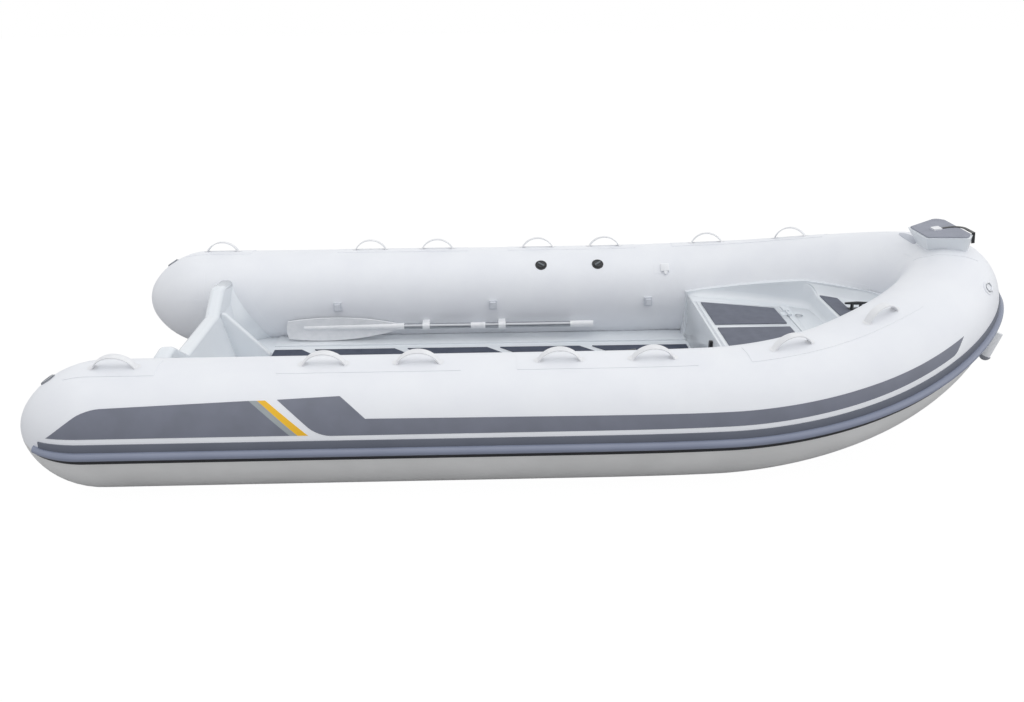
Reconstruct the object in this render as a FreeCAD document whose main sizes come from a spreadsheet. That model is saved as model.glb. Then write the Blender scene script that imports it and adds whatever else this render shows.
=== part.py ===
import FreeCAD, Part
import math
import os
import Sketcher

from FreeCAD import Placement, Rotation, Vector

# Rigid inflatable boat, 4.5 m long, with its origin amidships on the waterline.
# X runs forward to the bow, Y to port and Z up. All sizes are millimetres.

doc = FreeCAD.newDocument("rigid_inflatable_boat")

# ---------------------------------------------------------------- driving dimensions
DIMENSIONS = (
    # alias, value
    ("tube_radius", 270.0),
    ("tube_offset", 805.0),       # from the centre plane to each side tube's axis
    ("tube_height", 280.0),       # of the axes above the waterline, along the straight sides
    ("glue_gap", 1.5),            # thickness of the bonded tape between tube and moulding
    ("cone_base", -1885.0),       # where the straight tube turns into the stern cone
    ("cone_tip", -2245.0),
    ("loft_start", 115.0),        # where the straight tube ends and the sheer begins to show
    ("bow_start", 674.0),         # where the tube's axis leaves the straight side
    ("bow_reach", 1273.0),        # from there to the foremost point of the axis
    ("bow_fullness", 1.73),       # exponent of the axis's superellipse
    ("sheer_start", -85.0),
    ("sheer_rise", 292.6),
    ("sheer_power", 3.75),
    ("seam_turn", 60.0),          # turn along the bow at which the side gores meet the nose gore
    ("nose_thinning", 45.0),      # how much thinner the tube is at the stem
    ("thinning_start", 35.0),     # turn along the bow at which the tube starts to thin
    ("deck_top", 104.0),
    ("deck_thick", 12.0),
    ("ledge_rise", 8.0),
    ("ledge_start", 446.0),
    ("transom_aft", -1770.0),
    ("transom_thick", 58.0),
    ("transom_corner", 45.0),     # rounding of its corners, and of its upper rim
    ("transom_rim", 20.0),
    ("cutout_half", 262.0),       # the transom's low middle, where an outboard motor clamps
    ("cutout_height", 365.0),
    ("shoulder_half", 372.0),     # top of the slopes beside the low middle
    ("shoulder_height", 470.0),
    ("transom_end", 636.0),       # where the transom runs into the tubes
    ("transom_end_height", 447.0),
    ("wing_reach", 200.0),        # how far a wing's foot runs forward of the transom
    ("wing_top", 431.0),
    ("knee_spread", 310.0),
    ("knee_thick", 30.0),
    ("knee_foot", -1473.0),
    ("knee_toe", 22.0),           # height of the knee's blunt forward end
    ("knee_round", 10.0),
    ("wear_half", 140.0),         # wear plate for the motor's bracket
    ("wear_low", 110.0),
    ("wear_drop", 25.0),          # from the low middle's edge down to the plate's upper edge
    ("wear_thick", 8.0),
    ("wear_corner", 18.0),
    ("cushion", 6.0),             # thickness of every foam pad
    ("pad_half", 393.0),
    ("pad_split", 50.0),          # light gap between neighbouring pads
    ("pads_aft", -1472.0),
    ("pad_pitch", 510.0),         # between the light strips that cross the pads at 45 degrees
    ("first_strip", -1323.0),     # where the aftmost strip leaves the pads' outer edge
    ("strip_width", 70.0),        # of a light strip, measured along the boat
    ("strip_count", 4.0),
    ("step_face", 832.0),         # aft face of the step locker
    ("step_top", 358.0),
    ("bow_face", 1452.0),         # aft face of the bow deck
    ("bow_top", 438.0),
    ("lid_aft", 853.0),
    ("lid_fore", 1285.0),
    ("lid_aft_half", 388.0),
    ("lid_fore_half", 280.0),
    ("lid_thick", 24.0),
    ("lid_gap", 6.0),
    ("hinge_pin", 5.0),
    ("coaming_rise", 0.2205),     # slope of the coaming's edge
    ("coaming_top", 372.0),       # its height above the water at its aft end
    ("coaming_cap", 501.0),       # where it levels off towards the nose
    ("coaming_aft", 823.0),
    ("handle_span", 172.0),
    ("handle_rise", 63.0),
    ("handle_width", 38.0),
    ("handle_strap", 6.0),
    ("strake_top", 37.0),         # girth from the tube's equator up to the strake's upper edge
    ("bead_top", -4.0),
    ("bead_low", -42.0),
    ("strake_low", -60.0),
    ("strake_band", 5.5),         # thickness of the flat bands above and below the bead
    ("strake_bulge", 25.0),
    ("strake_start", -2080.0),
    ("nose_tilt", 7.0),           # degrees by which the nose step rises forward
    ("oar_offset", 505.0),
    ("oar_height", 193.0),
)

sheet = doc.addObject("Spreadsheet::Sheet", "sheet")
for row, (alias, number) in enumerate(DIMENSIONS, start=1):
    sheet.set("A%d" % row, alias)
    sheet.set("B%d" % row, str(number))
    sheet.setAlias("B%d" % row, alias)
doc.recompute()


def dim(alias):
    """The number held by one cell of the sheet."""
    return float(sheet.get(alias))


# ---------------------------------------------------------------- the tube's axis
def sheer(x):
    """Height of the tube's axis at a place along the boat."""
    run = dim("bow_start") + dim("bow_reach") - dim("sheer_start")
    share = max(0.0, (x - dim("sheer_start")) / run)
    return dim("tube_height") + dim("sheer_rise") * share ** dim("sheer_power")


def thinning(turn):
    """How much thinner the tube is, at a turn round the bow, than along the sides."""
    start = dim("thinning_start")
    share = min(1.0, max(0.0, (min(turn, 180.0 - turn) - start) / (90.0 - start)))
    return dim("nose_thinning") * share ** 2 * (3.0 - 2.0 * share)


def bow_line(turn):
    """Middle line of the bow: turn 0 is the port end of the curve, 90 the stem, 180 starboard."""
    angle = math.radians(max(0.0, min(turn, 180.0 - turn)))
    power = 2.0 / dim("bow_fullness")
    x = dim("bow_start") + dim("bow_reach") * max(0.0, math.sin(angle)) ** power
    y = dim("tube_offset") * max(0.0, math.cos(angle)) ** power
    if turn > 90.0:
        y = -y
    return Vector(x, y, sheer(x))


def axis_point(turn):
    """Point of the tube's axis: it moves outboard as the tube thins, which keeps the outer line."""
    way = bow_line(turn + 0.5).sub(bow_line(turn - 0.5))
    outward = Vector(0, 0, 1).cross(way)
    outward.normalize()
    return bow_line(turn) + outward * thinning(turn)


def axis_tangent(turn):
    """Direction of the bow's axis, from port round to starboard."""
    if turn <= 0.0:
        return Vector(1, 0, (sheer(dim("bow_start") + 1.0) - sheer(dim("bow_start"))))
    if turn >= 180.0:
        return Vector(-1, 0, -(sheer(dim("bow_start") + 1.0) - sheer(dim("bow_start"))))
    step = 0.5
    return axis_point(turn + step).sub(axis_point(turn - step))


def stations():
    """Centre, direction and thinning of each section from the port side round to starboard."""
    places = []
    for x in (dim("loft_start"), 0.5 * (dim("loft_start") + dim("bow_start"))):
        rise = sheer(x + 1.0) - sheer(x - 1.0)
        places.append((Vector(x, dim("tube_offset"), sheer(x)), Vector(2.0, 0, rise), 0.0))
    for turn in range(0, 181, 15):
        places.append((axis_point(turn), axis_tangent(turn), thinning(turn)))
    for centre, way, slim in reversed(places[:2]):
        mirrored = Vector(centre.x, -centre.y, centre.z)
        places.append((mirrored, Vector(-way.x, 0, -way.z), slim))
    return places


def section_frame(way):
    """Unit direction of the axis, and the outward level and upward directions of its section."""
    way = Vector(way)
    way.normalize()
    outward = Vector(0, 0, 1).cross(way)
    outward.normalize()
    upward = way.cross(outward)
    return way, outward, upward


def bow_loft(radius):
    """The tube round the bow as one loft through circles."""
    wires = []
    for centre, way, slim in stations():
        way, outward, upward = section_frame(way)
        circle = Part.Circle(centre, way, radius - slim)
        circle.XAxis = outward
        wires.append(Part.Wire([circle.toShape()]))
    return Part.makeLoft(wires, True, False)


def side_tube(radius, side, overlap=0.0):
    """The straight part of one side tube."""
    base = Vector(dim("cone_base") - overlap, side * dim("tube_offset"), dim("tube_height"))
    length = dim("loft_start") - dim("cone_base") + 2.0 * overlap
    return Part.makeCylinder(radius, length, base, Vector(1, 0, 0))


# ---------------------------------------------------------------- helpers
nodes = []


def keep(item, label):
    """Name an object as one sub-part of the boat."""
    item.Label = label
    nodes.append(item)
    return item


def shaped(label, shape):
    """A sub-part whose shape follows the tube's own curve."""
    item = doc.addObject("Part::Feature", label)
    item.Shape = shape
    item.Placement = Placement()
    return keep(item, label)


def own_plane(body, role):
    """One of the body's own origin planes."""
    return [plane for plane in body.Origin.OriginFeatures if plane.Role == role][0]


def outline_on(sketch, body, role, corners, offset="0"):
    """Closed outline whose corners are bound to the sheet, offset along the plane's normal."""
    sketch.AttachmentSupport = [(own_plane(body, role), "")]
    sketch.MapMode = "FlatFace"
    sketch.setExpression("AttachmentOffset.Base.z", offset)
    places = [(float(body.evalExpression(a)), float(body.evalExpression(b))) for a, b in corners]
    count = len(places)
    for index, place in enumerate(places):
        following = places[(index + 1) % count]
        sketch.addGeometry(Part.LineSegment(Vector(*place, 0), Vector(*following, 0)))
    for index in range(count):
        sketch.addConstraint(Sketcher.Constraint("Coincident", index, 2, (index + 1) % count, 1))
    for index, words in enumerate(corners):
        for kind, word, place in zip(("DistanceX", "DistanceY"), words, places[index]):
            spot = sketch.addConstraint(Sketcher.Constraint(kind, -1, 1, index, 1, place))
            sketch.setExpression("Constraints[%d]" % spot, word)


def plate(label, role, corners, thickness, offset="0"):
    """Body made of one outline padded along its plane's normal."""
    body = doc.addObject("PartDesign::Body", label)
    sketch = body.newObject("Sketcher::SketchObject", label + "_outline")
    outline_on(sketch, body, role, corners, offset)
    pad = body.newObject("PartDesign::Pad", label + "_pad")
    pad.Profile = sketch
    pad.setExpression("Length", thickness)
    sketch.Visibility = False
    doc.recompute()
    return body


def rounded(body, radius, chosen):
    """Fillet the chosen edges of a body's tip."""
    doc.recompute()
    tip = body.Tip
    names = ["Edge%d" % (index + 1) for index, edge in enumerate(tip.Shape.Edges) if chosen(edge)]
    fillet = body.newObject("PartDesign::Fillet", body.Name + "_round%d" % len(body.Group))
    fillet.Base = (tip, names)
    fillet.setExpression("Radius", radius)
    doc.recompute()
    return fillet


def along(axis):
    """Test for straight edges that run along one axis."""
    def test(edge):
        if edge.Curve.TypeId != "Part::GeomLine":
            return False
        return abs(abs(edge.Curve.Direction.dot(axis)) - 1.0) < 1e-6
    return test


def box_shape(x0, x1, y0, y1, z0, z1):
    return Part.makeBox(x1 - x0, y1 - y0, z1 - z0, Vector(x0, y0, z0))


def prism(points, direction):
    """Solid swept from a flat polygon."""
    return Part.Face(Part.makePolygon(points + points[:1])).extrude(direction)


def both_sides(shape):
    """A shape and its mirror image across the centre plane, in one compound."""
    return Part.Compound([shape, shape.mirror(Vector(0, 0, 0), Vector(0, 1, 0))])


def tool(name, shape):
    """Hidden helper object that other objects are cut with."""
    item = doc.addObject("Part::Feature", name)
    item.Shape = shape
    return item


def cut(label, base, cutter):
    """Part::Cut that is kept as a sub-part."""
    item = doc.addObject("Part::Cut", label)
    item.Base = base
    item.Tool = cutter
    return keep(item, label)


X = Vector(1, 0, 0)
Y = Vector(0, 1, 0)
Z = Vector(0, 0, 1)
BIG = 4000.0
radius = dim("tube_radius")

# ---------------------------------------------------------------- inflatable collar
gored_bow = bow_loft(radius)
seam_centre = axis_point(dim("seam_turn"))
seam_way = axis_tangent(dim("seam_turn"))


def beyond_seam(side):
    """Half-space, as a large box, on the nose side of one mitre seam."""
    block = Part.makeBox(BIG, BIG, BIG, Vector(0, -0.5 * BIG, -0.5 * BIG))
    turn = Rotation(X, seam_way)
    block.Placement = Placement(seam_centre, turn)
    if side < 0:
        block = block.mirror(Vector(0, 0, 0), Y)
    return block


port_cap = beyond_seam(1)
starboard_cap = beyond_seam(-1)
half_port = box_shape(0, BIG, 0, BIG, -BIG, BIG)
half_starboard = box_shape(0, BIG, -BIG, 0, -BIG, BIG)
shaped("collar_bow_port", gored_bow.common(half_port).cut(port_cap))
shaped("collar_bow_starboard", gored_bow.common(half_starboard).cut(starboard_cap))
shaped("collar_nose", gored_bow.common(port_cap).common(starboard_cap))

for word, side in (("port", 1), ("starboard", -1)):
    tube = doc.addObject("Part::Cylinder", "collar_side_" + word)
    tube.setExpression("Radius", "sheet.tube_radius")
    tube.setExpression("Height", "sheet.loft_start - sheet.cone_base")
    tube.setExpression("Placement.Base.x", "sheet.cone_base")
    tube.setExpression("Placement.Base.y", "%d * sheet.tube_offset" % side)
    tube.setExpression("Placement.Base.z", "sheet.tube_height")
    tube.Placement.Rotation = Rotation(Y, 90)
    keep(tube, "collar_side_" + word)

    # Stern cone: a turned form, its flank a long arc that tightens into a blunt tip.
    run = dim("cone_base") - dim("cone_tip")
    base = Vector(dim("cone_base"), side * dim("tube_offset"), dim("tube_height"))
    cap = 0.125 * run
    waist_wide = 0.39 * radius
    cap_ball = (cap ** 2 + waist_wide ** 2) / (2.0 * cap)
    half_turn = 0.5 * math.asin(waist_wide / cap_ball)
    rim, belly, waist = [base + Vector(-back * run, 0, wide * radius)
                         for back, wide in ((0, 1), (0.49, 0.80), (0.875, 0.39))]
    tip = base - Vector(run, 0, 0)
    brow = tip + Vector(cap_ball * (1 - math.cos(half_turn)), 0, cap_ball * math.sin(half_turn))
    profile = Part.Face(Part.Wire([
        Part.Arc(rim, belly, waist).toShape(), Part.Arc(waist, brow, tip).toShape(),
        Part.makeLine(tip, base), Part.makeLine(base, rim)]))
    shaped("cone_" + word, profile.revolve(base, X, 360))


def clearance(gap):
    """The whole collar, grown by a gap, as a cutter."""
    grown = radius + gap
    solids = [bow_loft(grown), side_tube(grown, 1), side_tube(grown, -1)]
    return tool("collar_clearance_%d" % round(10 * gap), Part.Compound(solids))


bonded = clearance(dim("glue_gap"))

# ---------------------------------------------------------------- hull bottom and bow moulding
HULL_SECTIONS = (
    # x, keel height, chine half-width, chine height, flange half-width, flange height, ceiling
    (dim("transom_aft"), -205, 595, -12, 640, 60, 640),
    (-400, -205, 595, -10, 640, 60, 640),
    (500, -198, 585, 0, 640, 62, 640),
    (1000, -174, 535, 22, 590, 85, 640),
    (1400, -118, 400, 70, 455, 150, 640),
    (1700, -66, 245, 140, 290, 250, 640),
    (1900, -8, 128, 215, 165, 320, 640),
    (2050, 50, 62, 262, 78, 360, 600),
    (2200, 126, 34, 285, 38, 380, 480),
    (2276, 188, 24, 290, 26, 330, 430),
)


def hull_section(x, keel, chine, chine_high, flange, flange_high, ceiling):
    """Closed V section of the hull, carried straight up into the tubes."""
    port = [(chine, chine_high), (flange, flange_high), (flange, ceiling)]
    points = [Vector(x, 0, keel)]
    points += [Vector(x, y, z) for y, z in port]
    points += [Vector(x, -y, z) for y, z in reversed(port)]
    return Part.makePolygon(points + points[:1])


def blended(station, column):
    """One column of the hull table at a place along the boat, on a smooth curve."""
    rows = HULL_SECTIONS
    last = len(rows) - 1
    spot = max(index for index in range(last) if rows[index][0] <= station)
    slopes = []
    for index in (spot, spot + 1):
        back = rows[max(index - 1, 0)]
        front = rows[min(index + 1, last)]
        slopes.append((front[column] - back[column]) / (front[0] - back[0]))
    span = rows[spot + 1][0] - rows[spot][0]
    part = (station - rows[spot][0]) / span
    start, end = rows[spot][column], rows[spot + 1][column]
    return (start * (1 + 2 * part) * (1 - part) ** 2 + end * part ** 2 * (3 - 2 * part)
            + span * part * (1 - part) * (slopes[0] * (1 - part) - slopes[1] * part))


STEM_X = HULL_SECTIONS[-1][0]
FORWARD_STATIONS = 16
FORWARD_START = 500
aft_places = [dim("transom_aft"), -400, 200, FORWARD_START]
step_length = (STEM_X - FORWARD_START) / FORWARD_STATIONS
fore_places = [FORWARD_START + step_length * step for step in range(FORWARD_STATIONS)]


def hull_wires(places):
    return [hull_section(x, *[blended(x, column) for column in range(1, 7)]) for x in places]


aft_block = Part.makeLoft(hull_wires(aft_places), True, True)
fore_block = Part.makeLoft(hull_wires(fore_places) + [hull_section(*HULL_SECTIONS[-1])], True, False)
hull_block = aft_block.fuse(fore_block)
deck_under = dim("deck_top") - dim("deck_thick")
BREAST_X = 1745.0             # forward of this the bow is solid up to the tubes
bottom = hull_block.common(box_shape(-BIG, BREAST_X, -BIG, BIG, -BIG, deck_under))


def coaming_wedge(low, fore):
    """Everything under the coaming's edge, which slopes up and then levels off."""
    aft = dim("coaming_aft")
    top = dim("coaming_top")
    cap = dim("coaming_cap")
    level_x = aft + (cap - top) / dim("coaming_rise")
    points = [Vector(aft, -BIG, low), Vector(fore, -BIG, low), Vector(fore, -BIG, cap),
              Vector(level_x, -BIG, cap), Vector(aft, -BIG, top)]
    return prism(points, Vector(0, 2 * BIG, 0))


breast = hull_block.common(box_shape(BREAST_X, BIG, -BIG, BIG, -BIG, BIG))
bottom = bottom.fuse(breast.common(coaming_wedge(-BIG, BIG)))
hull_tool = tool("hull_below_deck", bottom)
hull = cut("hull_bottom", hull_tool, bonded)

# Inside line of the forward cockpit, seen from above: two long arcs and a rounded nose.
NOSE_X = 1715.0
SHOULDER_X = 1618.0
SHOULDER_Y = 148.0


def inner_line(aft_x):
    """Flat face inside the coaming, from a given place forward."""
    far = Vector(dim("coaming_aft"), 508, 0)
    middle = Vector(1240, 372, 0)
    shoulder = Vector(SHOULDER_X, SHOULDER_Y, 0)
    long_arc = Part.Arc(far, middle, shoulder)
    nose_arc = Part.Arc(shoulder, Vector(NOSE_X, 0, 0), Vector(SHOULDER_X, -SHOULDER_Y, 0))
    near_arc = Part.Arc(Vector(shoulder.x, -shoulder.y, 0), Vector(middle.x, -middle.y, 0),
                        Vector(far.x, -far.y, 0))
    back = Part.makeLine(Vector(far.x, -far.y, 0), far)
    face = Part.Face(Part.Wire([long_arc.toShape(), nose_arc.toShape(), near_arc.toShape(), back]))
    return face.common(Part.makePlane(BIG, 2 * BIG, Vector(aft_x, -BIG, 0)))


def inner_block(aft_x, low, high):
    """The forward cockpit's inside between two heights."""
    face = inner_line(aft_x)
    face.translate(Vector(0, 0, low))
    return face.extrude(Vector(0, 0, high - low))


moulding = hull_block.common(coaming_wedge(dim("deck_top"), BREAST_X))
moulding = moulding.cut(inner_block(0, 0, BIG))
moulding_tool = tool("bow_moulding_block", moulding)
cut("bow_moulding", moulding_tool, bonded)

deck_slab = hull_block.common(box_shape(dim("transom_aft") + dim("transom_thick"), BREAST_X, -BIG, BIG,
                                        deck_under, dim("deck_top")))
ledge = box_shape(dim("knee_foot") - 10.0, dim("coaming_aft"),
                  dim("ledge_start"), 620, dim("deck_top") - 1.0, dim("deck_top") + dim("ledge_rise"))
deck_tool = tool("deck_block", deck_slab.fuse(ledge).fuse(ledge.mirror(Vector(0, 0, 0), Y)))
cut("deck_liner", deck_tool, bonded)

# ---------------------------------------------------------------- transom
transom_plate = plate("transom_plate", "YZ_Plane", (
    ("-sheet.transom_end", "sheet.deck_top - sheet.deck_thick"),
    ("sheet.transom_end", "sheet.deck_top - sheet.deck_thick"),
    ("sheet.transom_end", "sheet.transom_end_height"),
    ("sheet.shoulder_half", "sheet.shoulder_height"),
    ("sheet.cutout_half", "sheet.cutout_height"),
    ("-sheet.cutout_half", "sheet.cutout_height"),
    ("-sheet.shoulder_half", "sheet.shoulder_height"),
    ("-sheet.transom_end", "sheet.transom_end_height"),
), "sheet.transom_thick", "sheet.transom_aft")


def upper_corner(edge):
    """Edges through the plate at the ends of the slopes beside the low middle."""
    middle = edge.CenterOfMass
    return along(X)(edge) and middle.z > dim("deck_top") and abs(middle.y) < dim("transom_end") - 1


def upper_rim(edge):
    """Edges of the plate's top, on its aft and fore faces."""
    faces = (dim("transom_aft"), dim("transom_aft") + dim("transom_thick"))
    middle = edge.CenterOfMass
    on_face = min(abs(middle.x - place) for place in faces) < 0.1 and edge.BoundBox.XLength < 0.1
    return on_face and middle.z > dim("cutout_height") - 1


rounded(transom_plate, "sheet.transom_corner", upper_corner)
rounded(transom_plate, "sheet.transom_rim", upper_rim)
cut("transom", transom_plate, bonded)

# Side wings: coves that carry the transom's load into the tubes and shrink towards its top.
wing_root = dim("transom_aft") + dim("transom_thick")
WING_SLICES = 5
COVE_SHARE = 0.9              # a cove's width on the transom for each millimetre of its reach
COVE_PULL = 0.22              # how far the cove's middle lies towards its corner


def wing_slice(height):
    """Level slice of the port wing: a cove from the transom's face out to the tube."""
    reach = dim("wing_reach") * (dim("wing_top") - height) / (dim("wing_top") - dim("deck_top"))
    tube_y = dim("tube_offset") - math.sqrt(radius ** 2 - (height - dim("tube_height")) ** 2)
    root = Vector(wing_root, tube_y - COVE_SHARE * reach, height)
    tip = Vector(wing_root + reach, tube_y + 5.0, height)
    corner = Vector(wing_root, tube_y + 5.0, height)
    chord = (root + tip) * 0.5
    middle = chord + (corner - chord) * COVE_PULL
    outer_tip = Vector(tip.x, dim("transom_end"), height)
    outer_root = Vector(wing_root, dim("transom_end"), height)
    return Part.Wire([Part.Arc(root, middle, tip).toShape(), Part.makeLine(tip, outer_tip),
                      Part.makeLine(outer_tip, outer_root), Part.makeLine(outer_root, root)])


wing_rise = dim("wing_top") - 6.0 - dim("deck_top")
wing_heights = [dim("deck_top") + wing_rise * step / (WING_SLICES - 1) for step in range(WING_SLICES)]
wing_block = Part.makeLoft([wing_slice(height) for height in wing_heights], True, False)
for word, side in (("port", 1), ("starboard", -1)):
    block = wing_block if side > 0 else wing_block.mirror(Vector(0, 0, 0), Y)
    cut("transom_wing_" + word, tool("wing_block_" + word, block), bonded)



def sloping(edge):
    """Long edges of a knee's slope."""
    return edge.Length > 200 and not (along(X)(edge) or along(Z)(edge))


# Knees: triangular gussets under the cut-out's corners, rounded along their slope.
for word, side in (("port", 1), ("starboard", -1)):
    knee = plate("transom_knee_" + word, "XZ_Plane", (
        ("sheet.transom_aft + sheet.transom_thick", "sheet.deck_top"),
        ("sheet.knee_foot", "sheet.deck_top"),
        ("sheet.knee_foot", "sheet.deck_top + sheet.knee_toe"),
        ("sheet.transom_aft + sheet.transom_thick + sheet.knee_toe", "sheet.cutout_height - 4"),
        ("sheet.transom_aft + sheet.transom_thick", "sheet.cutout_height - 4"),
    ), "sheet.knee_thick", "%d * sheet.knee_spread - sheet.knee_thick / 2" % -side)
    rounded(knee, "sheet.knee_round", sloping)
    keep(knee, "transom_knee_" + word)

# Wear plate for the outboard motor's bracket, on the transom's aft face.
motor_plate = plate("motor_plate_outer", "YZ_Plane", (
    ("-sheet.wear_half", "sheet.wear_low"), ("sheet.wear_half", "sheet.wear_low"),
    ("sheet.wear_half", "sheet.cutout_height - sheet.wear_drop"),
    ("-sheet.wear_half", "sheet.cutout_height - sheet.wear_drop"),
), "sheet.wear_thick", "sheet.transom_aft - sheet.wear_thick")
rounded(motor_plate, "sheet.wear_corner", along(X))
keep(motor_plate, "motor_plate_outer")

# ---------------------------------------------------------------- step locker and its lid
locker_top = dim("step_top")
lid_under = locker_top - dim("lid_thick")
GUTTER_DROP = 5.0             # from the lid's underside down to the gutter it closes over
SHELF_WIDE = 16.0             # width of the gutter's shelf
SHELF_THICK = 22.0
WALL_THICK = 5.0              # the locker's side wall outside the lid's outline
gutter = lid_under - GUTTER_DROP


def lid_plan(grow):
    """Corners of the lid's outline, grown by a margin."""
    aft = dim("lid_aft") - grow
    fore = dim("lid_fore") + grow
    wide = dim("lid_aft_half") + grow
    narrow = dim("lid_fore_half") + grow
    return [(aft, -wide), (fore, -narrow), (fore, narrow), (aft, wide)]


def lid_prism(grow, low, high):
    points = [Vector(x, y, low) for x, y in lid_plan(grow)]
    return prism(points, Vector(0, 0, high - low))


locker = inner_block(dim("step_face"), dim("deck_top"), locker_top)
locker = locker.common(box_shape(0, dim("bow_face"), -BIG, BIG, 0, BIG))
locker = locker.cut(lid_prism(dim("lid_gap"), gutter, locker_top + 10))
locker = locker.cut(lid_prism(-SHELF_WIDE, gutter - SHELF_THICK - 10, gutter + 10))
locker = locker.cut(lid_prism(-WALL_THICK, dim("deck_top") - 10, gutter - SHELF_THICK))
cut("step_locker", tool("step_locker_block", locker), bonded)

lid = plate("step_lid_plate", "XY_Plane", (
    ("sheet.lid_aft", "-sheet.lid_aft_half"), ("sheet.lid_fore", "-sheet.lid_fore_half"),
    ("sheet.lid_fore", "sheet.lid_fore_half"), ("sheet.lid_aft", "sheet.lid_aft_half"),
), "sheet.lid_thick", "sheet.step_top - sheet.lid_thick")
# Hinge: the lid's barrels turn on pins held by two blocks on the locker, forward of the lid.
HINGE_SPREAD = 170.0          # of the two hinges from the centreline
HINGE_HALF = 35.0
BLOCK_WIDE = 12.0
BARREL_HALF = 22.0
BARREL_RADIUS = 5.0
LEAF_LONG = 30.0
LEAF_THICK = 3.0
PIN_PLAY = 0.4
hinge_x = dim("lid_fore") + 0.5 * dim("lid_gap") + 4.0
hinge_z = dim("step_top") + BARREL_RADIUS + 2.5
pin_radius = 0.5 * dim("hinge_pin")
barrels = []
blocks = []
for middle in (-HINGE_SPREAD, HINGE_SPREAD):
    pin_start = Vector(hinge_x, middle - HINGE_HALF, hinge_z)
    for end in (middle - HINGE_HALF, middle + HINGE_HALF - BLOCK_WIDE):
        block = box_shape(hinge_x - BARREL_RADIUS, hinge_x + 14.0, end, end + BLOCK_WIDE,
                          dim("step_top"), hinge_z + BARREL_RADIUS)
        blocks.append(block)
    blocks.append(Part.makeCylinder(pin_radius, 2.0 * HINGE_HALF, pin_start, Y))
    barrel_start = Vector(hinge_x, middle - BARREL_HALF, hinge_z)
    barrel = Part.makeCylinder(BARREL_RADIUS, 2.0 * BARREL_HALF, barrel_start, Y)
    leaf = box_shape(dim("lid_fore") - LEAF_LONG, hinge_x, middle - BARREL_HALF, middle + BARREL_HALF,
                     dim("step_top"), dim("step_top") + LEAF_THICK)
    bore = Part.makeCylinder(pin_radius + PIN_PLAY, 2.0 * HINGE_HALF, pin_start, Y)
    barrels.append(barrel.fuse(leaf).cut(bore))
hinge = blocks[0]
for block in blocks[1:]:
    hinge = hinge.fuse(block)
shaped("lid_hinge_blocks", Part.Compound(hinge.Solids))
shaped("lid_hinge_leaves", Part.Compound(barrels))
keep(lid, "step_lid")

# Foam pads on the lid, one each side of the centreline.
for word, side in (("port", 1), ("starboard", -1)):
    pad = plate("lid_pad_" + word, "XY_Plane", (
        ("sheet.lid_aft + 22", "%d * (sheet.lid_aft_half - 26)" % side),
        ("sheet.lid_fore - 40", "%d * (sheet.lid_fore_half - 28)" % side),
        ("sheet.lid_fore - 40", "%d * sheet.pad_split / 2" % side),
        ("sheet.lid_aft + 22", "%d * sheet.pad_split / 2" % side),
    ), "sheet.cushion", "sheet.step_top")
    keep(pad, "lid_pad_" + word)

LATCH_Y = (-122.0, -98.0)     # starboard and port edges of the latch
LATCH_Z = (268.0, 326.0)
LATCH_THICK = 16.0
LATCH_ROUND = 8.0
latch = plate("step_latch", "YZ_Plane", [
    (str(LATCH_Y[end]), str(LATCH_Z[top])) for end, top in ((0, 0), (1, 0), (1, 1), (0, 1))
], str(LATCH_THICK), "sheet.step_face - %s" % LATCH_THICK)
rounded(latch, str(LATCH_ROUND), along(X))
keep(latch, "step_latch")

# ---------------------------------------------------------------- bow deck
bow_block = inner_block(dim("bow_face"), dim("deck_top"), dim("bow_top"))
cut("bow_deck", tool("bow_deck_block", bow_block), bonded)
BOW_PAD = ((16.0, 216.0), (94.0, 180.0))      # distance from the bow deck's face, half-width
pad_corners = [(back, -half) for back, half in BOW_PAD] + [(back, half) for back, half in reversed(BOW_PAD)]
bow_pad = plate("bow_pad", "XY_Plane", [
    ("sheet.bow_face + %s" % back, str(half)) for back, half in pad_corners
], "sheet.cushion", "sheet.bow_top")
keep(bow_pad, "bow_pad")

CLEAT_X = 1610.0
HORN_LENGTH = 60.0
HORN_THICK, HORN_TIP = 9.0, 5.0
LEG_RADIUS, LEG_SPREAD = 8.0, 22.0
BAR_RISE = 34.0
FOOT_LENGTH, FOOT_WIDTH, FOOT_THICK = 80.0, 28.0, 6.0


def horn_cleat():
    """Cleat with two legs on one foot and a bar whose horns taper outwards, along X."""
    bar = Part.makeCone(HORN_THICK, HORN_TIP, HORN_LENGTH, Vector(0, 0, BAR_RISE), X)
    bar = bar.fuse(Part.makeCone(HORN_THICK, HORN_TIP, HORN_LENGTH, Vector(0, 0, BAR_RISE), X * -1))
    for side in (1, -1):
        bar = bar.fuse(Part.makeCylinder(LEG_RADIUS, BAR_RISE, Vector(LEG_SPREAD * side, 0, 0), Z))
    foot = box_shape(-0.5 * FOOT_LENGTH, 0.5 * FOOT_LENGTH, -0.5 * FOOT_WIDTH, 0.5 * FOOT_WIDTH,
                     0, FOOT_THICK)
    return bar.fuse(foot).removeSplitter()


cleat = horn_cleat()
cleat.translate(Vector(CLEAT_X, 0, dim("bow_top")))
shaped("bow_cleat", cleat.removeSplitter())

# Lifting ring that lies flat on the platform, held by a small eye.
RING_PLACE = Vector(1342, 136, dim("step_top"))
RING_RADIUS, RING_WIRE = 16.0, 3.0
lift_ring = Part.makeTorus(RING_RADIUS, RING_WIRE, RING_PLACE + Vector(0, 0, RING_WIRE), Z)
ring_seat = Part.makeCylinder(2.0 * RING_WIRE, 5.0, RING_PLACE + Vector(RING_RADIUS, 0, 0))
shaped("platform_ring", lift_ring.fuse(ring_seat))

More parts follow.
